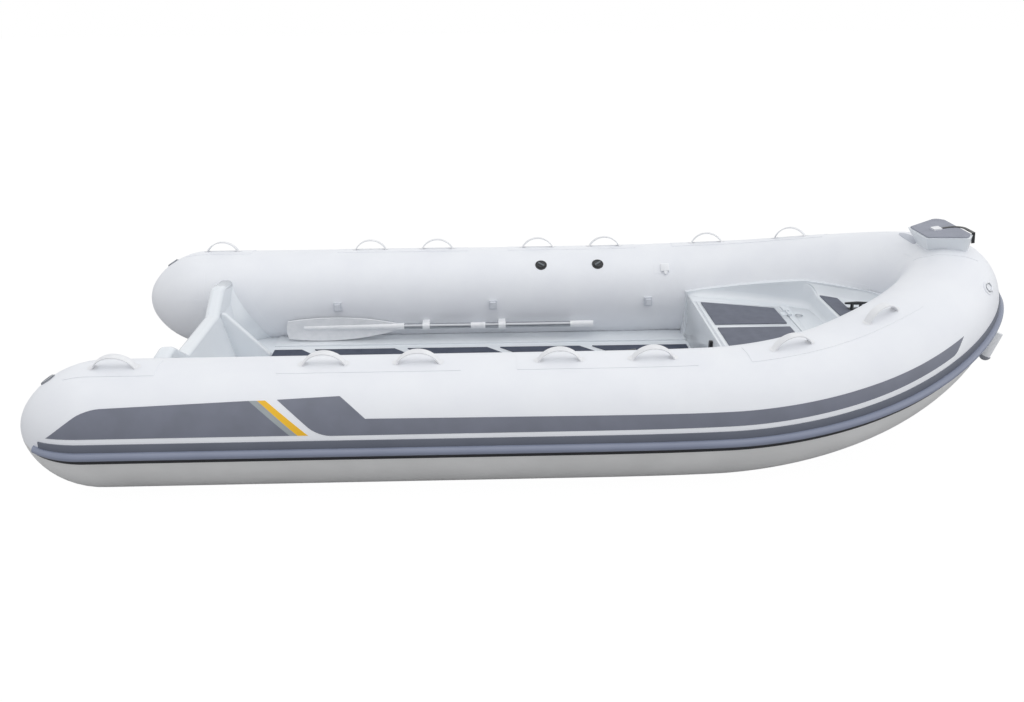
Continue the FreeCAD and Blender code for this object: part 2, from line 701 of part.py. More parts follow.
# ---------------------------------------------------------------- deck pads
for word, side in (("port", 1), ("starboard", -1)):
    pads = plate("deck_pads_" + word, "XY_Plane", (
        ("sheet.pads_aft", "%d * sheet.pad_half" % side),
        ("sheet.step_face - 16", "%d * (sheet.pad_half - 14)" % side),
        ("sheet.step_face - 16", "%d * sheet.pad_split / 2" % side),
        ("sheet.pads_aft", "%d * sheet.pad_split / 2" % side),
    ), "sheet.cushion", "sheet.deck_top")
    strip = pads.newObject("Sketcher::SketchObject", "strip_" + word)
    outline_on(strip, pads, "XY_Plane", (
        ("sheet.first_strip - 10", "%d * (sheet.pad_half + 10)" % side),
        ("sheet.first_strip - 10 + sheet.strip_width", "%d * (sheet.pad_half + 10)" % side),
        ("sheet.first_strip + sheet.pad_half + sheet.strip_width", "0"),
        ("sheet.first_strip + sheet.pad_half", "0"),
    ), "sheet.deck_top")
    groove = pads.newObject("PartDesign::Pocket", "light_strip_" + word)
    groove.Profile = strip
    groove.Type = "ThroughAll"
    groove.Reversed = True
    before = pads.Shape.Volume
    doc.recompute()
    if pads.Shape.Volume > before - 1.0:
        raise RuntimeError("the light strip cuts nothing")
    pattern = pads.newObject("PartDesign::LinearPattern", "light_strips_" + word)
    pattern.Originals = [groove]
    pattern.Direction = (own_plane(pads, "X_Axis"), [""])
    pattern.setExpression("Length", "sheet.pad_pitch * (sheet.strip_count - 1)")
    pattern.setExpression("Occurrences", "sheet.strip_count")
    pads.Tip = pattern
    keep(pads, "deck_pads_" + word)

# ---------------------------------------------------------------- nose step over the bow tube
NOSE_TOP = ((1832, 100), (1985, 190), (2030, 150))      # corners x, y on the port side
NOSE_FOOT = ((1884, 104), (1945, 172), (2018, 164))
NOSE_PIVOT = Vector(1930, 0, 848)
NOSE_FOOT_HEIGHT = 775.0
NOSE_LIP = 4.0                # white edge left round the pad
nose_turn = Placement(Vector(0, 0, 0), Rotation(Y, -dim("nose_tilt")), NOSE_PIVOT)


def nose_wire(corners, height):
    """Level outline of the nose step from its port corners."""
    port = [Vector(x, y, height) for x, y in corners]
    starboard = [Vector(x, -y, height) for x, y in reversed(corners)]
    return Part.makePolygon(port + starboard + port[:1])


nose_top = nose_wire(NOSE_TOP, NOSE_PIVOT.z)
nose_top.Placement = nose_turn
nose_low = nose_wire(NOSE_FOOT, NOSE_FOOT_HEIGHT)
nose_block = Part.makeLoft([nose_low, nose_top], True, True)
nose_root = Part.Face(nose_low).extrude(Vector(0, 0, -NOSE_FOOT_HEIGHT + 600.0))
corner_edges = [edge for edge in nose_block.Edges if edge.BoundBox.ZLength > 40.0]
nose_block = nose_block.makeFillet(12.0, corner_edges)
seated = clearance(0.4)
cut("nose_step", tool("nose_step_block", nose_block.fuse(nose_root)), seated)


def inset(corners, margin):
    """Corners moved towards the middle of the step by a margin, bound to the pad's sketch."""
    (aft_x, aft_y), (side_x, side_y), (fore_x, fore_y) = corners
    port = [(aft_x + margin, aft_y - margin), (side_x, side_y - 1.2 * margin),
            (fore_x - margin, fore_y - margin)]
    around = port + [(x, -y) for x, y in reversed(port)]
    return [(str(x), str(y)) for x, y in around]


nose_pad = plate("nose_pad", "XY_Plane", inset(NOSE_TOP, NOSE_LIP), "sheet.cushion", str(NOSE_PIVOT.z))
rounded(nose_pad, "10", along(Z))
nose_pad.Placement = nose_turn
keep(nose_pad, "nose_pad")

# Webbing strap over the nose step: forward from the buckle, round to starboard along the front
# edge, and down over the corner.
STRAP_HALF = 8.0
STRAP_THICK = 3.0
STRAP_BEND = 54.0
strap_start = Vector(1942, 2, NOSE_PIVOT.z + dim("cushion"))
bend_centre = Vector(1985, strap_start.y - STRAP_BEND, strap_start.z)
STRAP_END = -130.0


def strap_edge(offset):
    """One edge of the strap: straight, a quarter bend, straight again."""
    wide = STRAP_BEND + offset
    start = Vector(strap_start.x, strap_start.y + offset, strap_start.z)
    bend_start = bend_centre + Vector(0, wide, 0)
    bend_middle = bend_centre + Vector(wide * math.sin(math.pi / 4), wide * math.cos(math.pi / 4), 0)
    bend_end = bend_centre + Vector(wide, 0, 0)
    end = Vector(bend_end.x, STRAP_END, strap_start.z)
    return [Part.makeLine(start, bend_start), Part.Arc(bend_start, bend_middle, bend_end).toShape(),
            Part.makeLine(bend_end, end)], start, end


outer_edges, outer_start, outer_end = strap_edge(STRAP_HALF)
inner_edges, inner_start, inner_end = strap_edge(-STRAP_HALF)
strap_rim = Part.Wire(Part.__sortEdges__(outer_edges + inner_edges + [
    Part.makeLine(outer_end, inner_end), Part.makeLine(inner_start, outer_start)]))
strap_flat = Part.Face(strap_rim).extrude(Vector(0, 0, STRAP_THICK))
strap_tail = box_shape(inner_end.x, outer_end.x, STRAP_END - STRAP_THICK, STRAP_END,
                       strap_start.z - 50.0, strap_start.z + STRAP_THICK)
strap_shape = strap_flat.fuse(strap_tail).removeSplitter()
strap_shape.Placement = nose_turn
shaped("nose_strap", Part.Compound(strap_shape.Solids))
buckle = plate("nose_buckle", "XY_Plane", (
    ("1903", "-22"), ("1941.5", "-22"), ("1941.5", "24"), ("1903", "24"),
), "8", "%s + sheet.cushion" % NOSE_PIVOT.z)
buckle.Placement = nose_turn
keep(buckle, "nose_buckle")


# ---------------------------------------------------------------- fittings on the tubes
def turn_after(arc):
    """Turn reached after a length of the bow's axis."""
    turn = 0.0
    length = 0.0
    step = 0.25
    while length < arc:
        length += axis_point(turn + step).sub(axis_point(turn)).Length
        turn += step
    return turn


def seat(around, place=0.0, turn=None):
    """Placement on the port tube: local X runs along the tube and local Z points out of it."""
    wide = radius
    if turn is not None:
        centre, way = axis_point(turn), axis_tangent(turn)
        wide = radius - thinning(turn)
    else:
        centre = Vector(place, dim("tube_offset"), sheer(place))
        way = Vector(2.0, 0, sheer(place + 1.0) - sheer(place - 1.0))
    way, outward, upward = section_frame(way)
    angle = math.radians(around)
    out = outward * math.cos(angle) + upward * math.sin(angle)
    across = out.cross(way)
    return Placement(centre + out * wide, Rotation(way, across, out, "XZY"))


SEAT_OVERLAP = 60.0           # the straight cutter runs on past the place where the sheer begins
straight_cutter = side_tube(radius + 0.4, 1, SEAT_OVERLAP)
bow_cutter = bow_loft(radius + 0.4)


def seated_copy(shape, placement):
    """A solid moved into place, with its underside cut to the tube it stands on."""
    moved = shape.copy()
    moved.Placement = placement
    straight = moved.BoundBox.XMax < dim("loft_start") + SEAT_OVERLAP
    return moved.copy().cut(straight_cutter if straight else bow_cutter)


def sides_of(label, shapes):
    """Port and starboard nodes from one list of port-side solids."""
    port = Part.Compound([solid for shape in shapes for solid in shape.Solids])
    shaped(label + "_port", port)
    shaped(label + "_starboard", port.mirror(Vector(0, 0, 0), Y))


def pair_of(label, shapes):
    """One node that holds the port solids and their mirror images."""
    port = Part.Compound([solid for shape in shapes for solid in shape.Solids])
    shaped(label, both_sides(port))


def arched_handle():
    """Flat strap bent into a low arch, with a thin foot at each end."""
    half = 0.5 * dim("handle_span")
    strap = dim("handle_strap")
    rise = dim("handle_rise")
    width = dim("handle_width")
    foot_top = 3.0
    foot_low = -6.0
    inner_half = half - 1.6 * strap
    outer = Part.Arc(Vector(-half, 0, foot_top), Vector(0, 0, rise), Vector(half, 0, foot_top))
    inner = Part.Arc(Vector(inner_half, 0, foot_top), Vector(0, 0, rise - strap),
                     Vector(-inner_half, 0, foot_top))
    corners = [Vector(half, 0, foot_top), Vector(half + HANDLE_FOOT, 0, foot_top),
               Vector(half + HANDLE_FOOT, 0, foot_low), Vector(inner_half, 0, foot_low),
               Vector(inner_half, 0, foot_top)]
    left = [Vector(-corner.x, 0, corner.z) for corner in reversed(corners)]
    wire = Part.Wire([outer.toShape()] + Part.makePolygon(corners).Edges + [inner.toShape()]
                     + Part.makePolygon(left).Edges)
    face = Part.Face(wire)
    face.translate(Vector(0, -0.5 * width, 0))
    return face.extrude(Vector(0, width, 0))


HANDLE_FOOT = 9.0
HANDLE_LEAN = 83.0
STRAIGHT_HANDLES = (-1817, -963, -577, 7, 399)
BOW_HANDLES = (335, 825)          # lengths round the bow's axis
handle = arched_handle()
handle_solids = [seated_copy(handle, seat(HANDLE_LEAN, place=x)) for x in STRAIGHT_HANDLES]
handle_solids += [seated_copy(handle, seat(HANDLE_LEAN, turn=turn_after(arc))) for arc in BOW_HANDLES]
sides_of("grab_handles", handle_solids)


def dome(base_radius, cap_radius, height):
    """Low round boss that tapers to its cap and reaches a little into the tube."""
    sunk = 6.0
    return Part.makeCone(base_radius, cap_radius, height + sunk, Vector(0, 0, -sunk), Z)


VALVE_PLACES, VALVE_AROUND = (17, 340), 126
RELIEF_PLACE, RELIEF_AROUND = 716, 139
LUG_PLACES, LUG_AROUND = (-1129, -259, 617), 174.5
BOW_RING_TURN, BOW_RING_AROUND = 71.5, 40
valve = dome(31, 28, 5).fuse(Part.makeCylinder(19, 11)).removeSplitter()
pair_of("air_valves", [seated_copy(valve, seat(VALVE_AROUND, place=x)) for x in VALVE_PLACES])
relief = dome(27, 22, 10).fuse(Part.makeCylinder(12, 16)).removeSplitter()
pair_of("relief_valves", [seated_copy(relief, seat(RELIEF_AROUND, place=RELIEF_PLACE))])
lug = box_shape(-22, 22, -24, 24, -6, 12).fuse(box_shape(-14, 14, -16, 16, 12, 30)).removeSplitter()
pair_of("seat_lugs", [seated_copy(lug, seat(LUG_AROUND, place=x)) for x in LUG_PLACES])


def ring_on_patch(patch_radius, ring_radius, wire_radius):
    """Round rubber patch with a steel D-ring lying on it, held by a small bridge."""
    patch = dome(patch_radius, patch_radius - 3, 3)
    ring = Part.makeTorus(ring_radius, wire_radius, Vector(0, 0, 3 + 0.6 * wire_radius), Z)
    bridge = box_shape(-ring_radius - 8, 8 - ring_radius, -10, 10, 2, 5 + 2 * wire_radius)
    return patch.fuse(ring).fuse(bridge).removeSplitter()


bow_ring = ring_on_patch(27, 16, 2.5)
pair_of("bow_rings", [seated_copy(bow_ring, seat(BOW_RING_AROUND, turn=BOW_RING_TURN))])

# Ring patches on the stern cones, tilted to the cone's flank.
CONE_RING_BACK = 190.0        # aft of the cone's base
CONE_RING_OUT = 0.777         # distance from the axis as a share of the tube's radius
CONE_RING_TILT = -22.0
cone_ring = ring_on_patch(30, 16, 2.5)
cone_ring.Placement = Placement(Vector(dim("cone_base") - CONE_RING_BACK, dim("tube_offset"),
                                       dim("tube_height") + CONE_RING_OUT * radius),
                                Rotation(Y, CONE_RING_TILT))
cone_shape = [node for node in nodes if node.Label == "cone_port"][0].Shape
pair_of("cone_rings", [cone_ring.copy().cut(cone_shape)])

# ---------------------------------------------------------------- rubbing strake
STRAKE_SEAT = 1.0


def strake_profile(centre, way, tube):
    """Section of the strake: a flat band, a half-round bead and a narrow lip below it."""
    way, outward, upward = section_frame(way)

    def at(girth, lift):
        angle = girth / tube
        return centre + (outward * math.cos(angle) + upward * math.sin(angle)) * (tube + lift)

    band = dim("strake_band")
    bead_middle = 0.5 * (dim("bead_top") + dim("bead_low"))
    top = at(dim("strake_top"), STRAKE_SEAT)
    shoulder = at(dim("strake_top") - 3.0, band)
    bead_top = at(dim("bead_top"), band)
    bead_low = at(dim("bead_low"), band)
    lip = at(dim("strake_low") + 3.0, band)
    low = at(dim("strake_low"), STRAKE_SEAT)
    return Part.Wire([
        Part.makeLine(top, shoulder),
        Part.makeLine(shoulder, bead_top),
        Part.Arc(bead_top, at(bead_middle, dim("strake_bulge")), bead_low).toShape(),
        Part.makeLine(bead_low, lip),
        Part.makeLine(lip, low),
        Part.Arc(low, at(bead_middle, STRAKE_SEAT), top).toShape(),
    ])


strake_wires = [strake_profile(centre, way, radius - slim) for centre, way, slim in stations()]
shaped("strake_bow", Part.makeLoft(strake_wires, True, False))


def cone_radius(x):
    """Radius of the stern cone on its flank's arc."""
    arc = Part.Arc(Vector(0, radius, 0), Vector(-0.49 * cone_run, 0.80 * radius, 0),
                   Vector(-0.875 * cone_run, 0.39 * radius, 0))
    circle = arc.toShape().Curve
    centre = circle.Center
    return centre.y + math.sqrt(circle.Radius ** 2 - (x - dim("cone_base") - centre.x) ** 2)


cone_run = dim("cone_base") - dim("cone_tip")
side_start = Vector(dim("cone_base"), dim("tube_offset"), dim("tube_height"))
straight = Part.Face(strake_profile(side_start, X, radius))
straight = straight.extrude(Vector(dim("loft_start") - dim("cone_base") - 0.3, 0, 0))
cone_wires = []
for share in (0.0, 0.35, 0.7, 1.0):
    x = dim("cone_base") + share * (dim("strake_start") - dim("cone_base"))
    cone_wires.append(strake_profile(Vector(x, side_start.y, side_start.z), X, cone_radius(x)))
tail = Part.makeLoft(cone_wires, True, False)
sides_of("strake_side", [straight.fuse(tail).removeSplitter()])

# ---------------------------------------------------------------- oars in their clips
oar_y = dim("oar_offset")
oar_z = dim("oar_height")
SHAFT_RADIUS, SHAFT_AFT, SHAFT_LENGTH = 15.0, -760.0, 1010.0
GRIP_RADIUS, GRIP_AFT, GRIP_LENGTH = 19.0, 175.0, 130.0
CLIP_PLACES = (-637, -210)
CLIP_RADIUS, CLIP_LENGTH, CLIP_PLAY = 22.0, 40.0, 0.4
BLADE_THICK = 10.0
shaft = Part.makeCylinder(SHAFT_RADIUS, SHAFT_LENGTH, Vector(SHAFT_AFT, oar_y, oar_z), X)
pair_of("oar_shafts", [shaft])
grip = Part.makeCylinder(GRIP_RADIUS, GRIP_LENGTH, Vector(GRIP_AFT, oar_y, oar_z), X)
pair_of("oar_grips", [grip.cut(shaft)])

# Blade: widest near its tip, with rounded corners and a loom that runs up its middle.
blade_tip, blade_root = -1409.0, -800.0
blade_outline = [
    Part.Arc(Vector(blade_tip, 0, 130), Vector(blade_tip - 10, 0, 180), Vector(blade_tip, 0, 232)),
    Part.Arc(Vector(blade_tip, 0, 232), Vector(-1090, 0, 250), Vector(blade_root, 0, 212)),
    Part.LineSegment(Vector(blade_root, 0, 212), Vector(blade_root, 0, 174)),
    Part.Arc(Vector(blade_root, 0, 174), Vector(-1080, 0, 122), Vector(blade_tip, 0, 130)),
]
blade_face = Part.Face(Part.Wire([curve.toShape() for curve in blade_outline]))
blade_face.translate(Vector(0, oar_y - 0.5 * BLADE_THICK, 0))
blade = blade_face.extrude(Vector(0, BLADE_THICK, 0))
loom = Part.makeCone(12, 20, 560, Vector(SHAFT_AFT - 560, oar_y, oar_z), X)
pair_of("oar_blades", [blade.fuse(loom).cut(shaft).removeSplitter()])

# Clips: a ring round the shaft on an arm from the tube.
reach = Vector(0, dim("tube_offset") - oar_y, dim("tube_height") - oar_z)
reach.normalize()
clips = []
for x in CLIP_PLACES:
    clip_start = Vector(x - 0.5 * CLIP_LENGTH, oar_y, oar_z)
    ring = Part.makeCylinder(CLIP_RADIUS, CLIP_LENGTH, clip_start, X)
    ring = ring.cut(Part.makeCylinder(SHAFT_RADIUS + CLIP_PLAY, CLIP_LENGTH, clip_start, X))
    arm = Part.makeBox(CLIP_LENGTH, 26, 60, Vector(-0.5 * CLIP_LENGTH, -13, 18))
    arm.Placement = Placement(Vector(x, oar_y, oar_z), Rotation(X, reach.cross(X), reach, "ZXY"))
    clips.append(ring.fuse(arm.copy()).cut(straight_cutter))
pair_of("oar_clips", clips)

# ---------------------------------------------------------------- stern and stem fittings
drain = doc.addObject("Part::Cylinder", "drain_plug")
DRAIN_RADIUS, DRAIN_LENGTH = 20.0, 14.0
drain.Radius = DRAIN_RADIUS
drain.Height = DRAIN_LENGTH
drain.Placement = Placement(Vector(dim("transom_aft") - DRAIN_LENGTH, 200, 60), Rotation(Y, 90))
keep(drain, "drain_plug")


def eye_bolt(width, rise, bar):
    """Half-round U of steel bar on a small plate, standing out along local Z."""
    bend = Part.makeTorus(0.5 * width, bar, Vector(0, 0, rise), Y)
    bend = bend.common(box_shape(-width, width, -2 * bar, 2 * bar, rise, rise + width))
    for side in (1, -1):
        bend = bend.fuse(Part.makeCylinder(bar, rise, Vector(side * 0.5 * width, 0, 0), Z))
    foot_half = 0.5 * width + 14.0
    return bend.fuse(box_shape(-foot_half, foot_half, -12, 12, 0, 4))


stern_eye = eye_bolt(44, 16, 5)
stern_eye.Placement = Placement(Vector(dim("transom_aft"), 420, 250), Rotation(Y, -90))
pair_of("stern_eyes", [stern_eye.copy()])

# Stem head: a rounded post on the hull's foremost edge, leaning forward.
POST_RADIUS = 25.0
POST_LENGTH = 130.0
post_foot = Vector(STEM_X + 22.0, 0, 178)
post_way = Vector(0.33, 0, 0.94)
post = Part.makeCylinder(POST_RADIUS, POST_LENGTH, post_foot, post_way)
post = post.fuse(Part.makeSphere(POST_RADIUS, post_foot))
post = post.cut(box_shape(0, STEM_X, -100, 100, 0, 1000))
shaped("stem_post", post.removeSplitter())
doc.recompute()


def write_parts():
    """Check every object and write each sub-part."""
    for item in doc.Objects:
        if "Invalid" in item.State or "Error" in item.State:
            raise RuntimeError("%s is in state %s" % (item.Label, item.State))
    os.makedirs("parts", exist_ok=True)
    for item in nodes:
        if item.Shape.isNull() or not item.Shape.isValid():
            raise RuntimeError("%s has no valid shape" % item.Label)
        item.Shape.exportStep("parts/%s.step" % item.Label)


write_parts()
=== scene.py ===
import math
from bisect import bisect_right

import bmesh
import bpy
from bmesh.types import BMEdge, BMFace, BMVert
from mathutils import Matrix, Vector


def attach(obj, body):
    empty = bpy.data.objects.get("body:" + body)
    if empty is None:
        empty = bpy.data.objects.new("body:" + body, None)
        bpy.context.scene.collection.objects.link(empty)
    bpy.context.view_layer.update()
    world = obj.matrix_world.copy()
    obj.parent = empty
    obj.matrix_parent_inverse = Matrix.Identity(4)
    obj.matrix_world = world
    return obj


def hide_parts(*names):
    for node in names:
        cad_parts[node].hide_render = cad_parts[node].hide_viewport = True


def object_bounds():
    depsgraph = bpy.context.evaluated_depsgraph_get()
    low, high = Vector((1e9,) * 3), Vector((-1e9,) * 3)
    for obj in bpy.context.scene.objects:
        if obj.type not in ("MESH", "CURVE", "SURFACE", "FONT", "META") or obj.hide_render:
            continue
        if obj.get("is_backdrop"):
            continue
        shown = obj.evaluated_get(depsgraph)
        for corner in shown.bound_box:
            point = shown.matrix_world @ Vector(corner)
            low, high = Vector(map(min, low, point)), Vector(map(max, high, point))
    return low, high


# Rigid inflatable boat: a fabric collar glued round a glass-fibre hull, afloat at Z = 0.
# X runs forward, Y to port and Z up, in metres.

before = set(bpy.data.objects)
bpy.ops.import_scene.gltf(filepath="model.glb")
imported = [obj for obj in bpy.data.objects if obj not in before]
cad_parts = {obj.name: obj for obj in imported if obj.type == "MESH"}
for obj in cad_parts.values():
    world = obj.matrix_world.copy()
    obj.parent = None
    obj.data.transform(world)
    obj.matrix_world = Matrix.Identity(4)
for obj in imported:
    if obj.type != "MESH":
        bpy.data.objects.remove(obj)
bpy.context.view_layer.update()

# ---------- camera
# Off the starboard side and well above the boat, turned a little towards the bow.
eye = Vector((-0.278, -4.284, 2.028))
heading = math.radians(1.476)
dip = math.radians(22.618)
roll = math.radians(-0.387)
ahead = Vector((math.sin(heading) * math.cos(dip), math.cos(heading) * math.cos(dip), -math.sin(dip)))
level = Vector((math.cos(heading), -math.sin(heading), 0))
above = level.cross(ahead)
right = math.cos(roll) * level + math.sin(roll) * above
upright = math.cos(roll) * above - math.sin(roll) * level
camera_data = bpy.data.cameras.new("quarter_view")
camera_data.sensor_width = 36
camera_data.lens = 31.9
camera = bpy.data.objects.new("quarter_view", camera_data)
bpy.context.scene.collection.objects.link(camera)
turned = Matrix((right, upright, -ahead)).transposed().to_4x4()
camera.matrix_world = Matrix.Translation(eye) @ turned
bpy.context.scene.camera = camera
bpy.context.scene.view_settings.view_transform = "Standard"


# ---------- collar
# The inflated collar is PVC-coated polyester cloth, cut flat, welded into a tube and blown up hard.
# Every panel, patch and strake on it is cut flat here too: x is the length along the boat, y the
# girth from the outboard equator over the crown, and z the height off the cloth. Then it is wrapped.
GIRTH_RADIUS = 0.270
SIDE_OFFSET, AXIS_HEIGHT = 0.805, 0.280                  # of the side tubes' axes
CONE_BASE, CONE_TIP = -1.885, -2.245
CONE_MIDDLE, CONE_END = (0.49, 0.87), (0.875, 0.46)      # share of the length, share of the radius
BOW_START, BOW_REACH, BOW_POWER = 0.674, 1.273, 2 / 1.73
SHEER_START, SHEER_RISE, SHEER_POWER = -0.085, 0.2926, 3.75
NOSE_THINNING, THINNING_START = 0.045, 35                # metres at the stem, degrees round the bow
AXIS_STEP, AXIS_PARTS = 0.01, 4                          # metres on the sides, parts of a degree at the bow


def sheer(x):
    """Height of the tube's axis at a place along the boat."""
    share = max(0.0, (x - SHEER_START) / (BOW_START + BOW_REACH - SHEER_START))
    return AXIS_HEIGHT + SHEER_RISE * share ** SHEER_POWER


def thinning(turn):
    """How much thinner the tube is, round the bow, than along the sides."""
    share = min(1.0, max(0.0, (turn - THINNING_START) / (90 - THINNING_START)))
    return NOSE_THINNING * share ** 2 * (3 - 2 * share)


def bow_line(turn):
    """Level outline of the bow's middle: turn 0 is the end of the port side and 90 the stem."""
    angle = math.radians(turn)
    x = BOW_START + BOW_REACH * max(0.0, math.sin(angle)) ** BOW_POWER
    y = SIDE_OFFSET * max(0.0, math.cos(angle)) ** BOW_POWER
    return Vector((x, y, sheer(x)))


def bow_axis(turn):
    """Point of the tube's axis: the tube thins on its inboard side, so the axis moves outboard."""
    way = bow_line(min(turn + 0.5, 90)) - bow_line(max(turn - 0.5, 0))
    outward = Vector((0, 0, 1)).cross(way).normalized()
    if turn >= 90:
        outward = Vector((1, 0, 0))
    return bow_line(turn) + outward * thinning(turn)


def spaced(start, end, parts):
    """Evenly spaced numbers from start to end, both among them."""
    return [start + (end - start) * k / parts for k in range(parts + 1)]


# The axis as a fine line from the stern cone's tip to the stem, with its running length.
side_places = [CONE_TIP + AXIS_STEP * k for k in range(math.ceil((BOW_START - CONE_TIP) / AXIS_STEP))]
axis_line = [Vector((x, SIDE_OFFSET, sheer(x))) for x in side_places]
axis_run = [point.x for point in axis_line]
axis_wide = [GIRTH_RADIUS] * len(axis_line)
for turn in spaced(0, 90, 90 * AXIS_PARTS):
    point = bow_axis(turn)
    axis_run.append(axis_run[-1] + (point - axis_line[-1]).length)
    axis_line.append(point)
    axis_wide.append(GIRTH_RADIUS - thinning(turn))
STEM = axis_run[-1]


def circle_through(first, second, third):
    """Centre and radius of the circle through three points."""
    first, second, third = Vector(first), Vector(second), Vector(third)
    chord, other = second - first, third - first
    cross = 2 * (chord.x * other.y - chord.y * other.x)
    off = Vector((other.y * chord.length_squared - chord.y * other.length_squared,
                  chord.x * other.length_squared - other.x * chord.length_squared)) / cross
    return first + off, off.length


def cone_flank(back):
    """Radius of the stern cone, a distance aft of its base: a long arc that tightens to a blunt tip."""
    run = CONE_BASE - CONE_TIP
    (middle, middle_wide), (end, end_wide) = CONE_MIDDLE, CONE_END
    centre, size = circle_through((0, 1), (-middle * run / GIRTH_RADIUS, middle_wide),
                                  (-end * run / GIRTH_RADIUS, end_wide))
    if back < end * run:
        along = -back / GIRTH_RADIUS - centre.x
        return min(GIRTH_RADIUS, GIRTH_RADIUS * (centre.y + math.sqrt(size ** 2 - along ** 2)))
    cap = (1 - end) * run
    ball = (cap ** 2 + (end_wide * GIRTH_RADIUS) ** 2) / (2 * cap)
    return math.sqrt(max(0.0, ball ** 2 - (ball - (run - back)) ** 2))


def station(run):
    """Centre, outward and upward directions and tube radius at a length along the port side."""
    spot = min(max(bisect_right(axis_run, run), 1), len(axis_run) - 1)
    before, after = axis_line[spot - 1], axis_line[spot]
    part = (run - axis_run[spot - 1]) / (axis_run[spot] - axis_run[spot - 1])
    way_in = (after - axis_line[max(spot - 2, 0)]).normalized()
    way_out = (axis_line[min(spot + 1, len(axis_line) - 1)] - before).normalized()
    way = way_in.lerp(way_out, part).normalized()
    if run >= STEM - 1e-6:
        way = Vector((0, -1, 0))
    outward = Vector((0, 0, 1)).cross(way).normalized()
    wide = axis_wide[spot - 1] + (axis_wide[spot] - axis_wide[spot - 1]) * part
    if run < CONE_BASE:
        wide = cone_flank(CONE_BASE - run)
    return before.lerp(after, part), outward, way.cross(outward), wide


def girth_at(degrees):
    """Girth of a place that many degrees round the tube."""
    return math.radians(degrees) * GIRTH_RADIUS


def only(geom, kind):
    """The items of one kind among those that an operator gives back."""
    return [item for item in geom if isinstance(item, kind)]


def whole(bm):
    return bm.verts[:] + bm.edges[:] + bm.faces[:]


def cloth_map(bm):
    """Notes each corner's flat place, so that the weave follows the cloth."""
    layer = bm.loops.layers.uv.new("cloth")
    for face in bm.faces:
        for loop in face.loops:
            loop[layer].uv = loop.vert.co.xy


def wrap(bm, spine=None):
    """Lays flat work on the port tube. Work that stands high keeps its width about its spine."""
    for vert in bm.verts:
        run, girth, lift = vert.co
        centre, outward, upward, wide = station(run)
        if spine is not None:
            girth = spine + (girth - spine) * GIRTH_RADIUS / (GIRTH_RADIUS + max(lift, 0))
        angle = girth / GIRTH_RADIUS
        away = outward * math.cos(angle) + upward * math.sin(angle)
        vert.co = centre + away * (wide + lift)


def mirrored(bm, weld=0.0):
    """Adds the starboard half, and welds it on where the two meet. The copy is turned right side out."""
    half = bmesh.ops.duplicate(bm, geom=whole(bm))["geom"]
    bmesh.ops.scale(bm, vec=(1, -1, 1), verts=only(half, BMVert))
    bmesh.ops.reverse_faces(bm, faces=only(half, BMFace))
    if weld:
        bmesh.ops.remove_doubles(bm, verts=bm.verts[:], dist=weld)


def piece(bm, name, materials, slot, body="boat", replaces=(), crease=40):
    """Turns finished work into one named piece of the boat that rides on a body."""
    mesh = bpy.data.meshes.new(name)
    bm.to_mesh(mesh)
    bm.free()
    for material in materials:
        mesh.materials.append(material)
    mesh.shade_smooth()
    mesh.set_sharp_from_angle(angle=math.radians(crease))
    made = bpy.data.objects.new(name, mesh)
    bpy.context.scene.collection.objects.link(made)
    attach(made, body)
    if replaces:
        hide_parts(*replaces)
    return made


def linear(code):
    """The shader's linear colour for an sRGB hex code."""
    parts = [int(code[spot:spot + 2], 16) / 255 for spot in (1, 3, 5)]
    return tuple(p / 12.92 if p <= 0.04045 else ((p + 0.055) / 1.055) ** 2.4 for p in parts) + (1.0,)


def add(tree, kind, inputs=(), **settings):
    """Adds one shader node: its settings, then its inputs as values or as (node, output) links."""
    node = tree.nodes.new(kind)
    for word, setting in settings.items():
        setattr(node, word, setting)
    for word, given in dict(inputs).items():
        if isinstance(given, tuple) and isinstance(given[0], bpy.types.Node):
            tree.links.new(given[0].outputs[given[1]], node.inputs[word])
        else:
            node.inputs[word].default_value = given
    return node


def finish_of(name, roughness, ior=1.5, metallic=0.0):
    """A new material with its shader set to the plain facts of the real one."""
    material = bpy.data.materials.new(name)
    material.use_nodes = True
    tree = material.node_tree
    shader = tree.nodes["Principled BSDF"]
    shader.inputs["Roughness"].default_value = roughness
    shader.inputs["Metallic"].default_value = metallic
    if not metallic:
        shader.inputs["IOR"].default_value = ior
    return material, tree, shader


def mottle(tree, shader, where, colour, other, size):
    """Colour that drifts between two tones in soft patches of a given size in metres."""
    patch = add(tree, "ShaderNodeTexNoise", {"Vector": where, "Scale": 1 / size, "Detail": 3.0})
    tone = add(tree, "ShaderNodeMapRange", {"Value": (patch, "Fac"), "From Min": 0.35, "From Max": 0.65})
    mix = add(tree, "ShaderNodeMix", {"Factor": (tone, "Result")}, data_type="RGBA")
    mix.inputs["A"].default_value = linear(colour)
    mix.inputs["B"].default_value = linear(other)
    tree.links.new(mix.outputs["Result"], shader.inputs["Base Color"])


def emboss(tree, shader, height, depth):
    """Raised pattern in the surface, its depth in metres."""
    bump = add(tree, "ShaderNodeBump", {"Height": height, "Distance": depth, "Strength": 1.0})
    tree.links.new(bump.outputs["Normal"], shader.inputs["Normal"])


# PVC-coated polyester: a satin plastic skin calendered on a plain weave, which shows faintly
# through it. The threads are 0.6 mm apart; they are drawn at 4 mm so that they show.
THREAD_SPACING = 0.004
WAVES_PER_METRE = 3.14          # of the wave texture, at a scale of 1


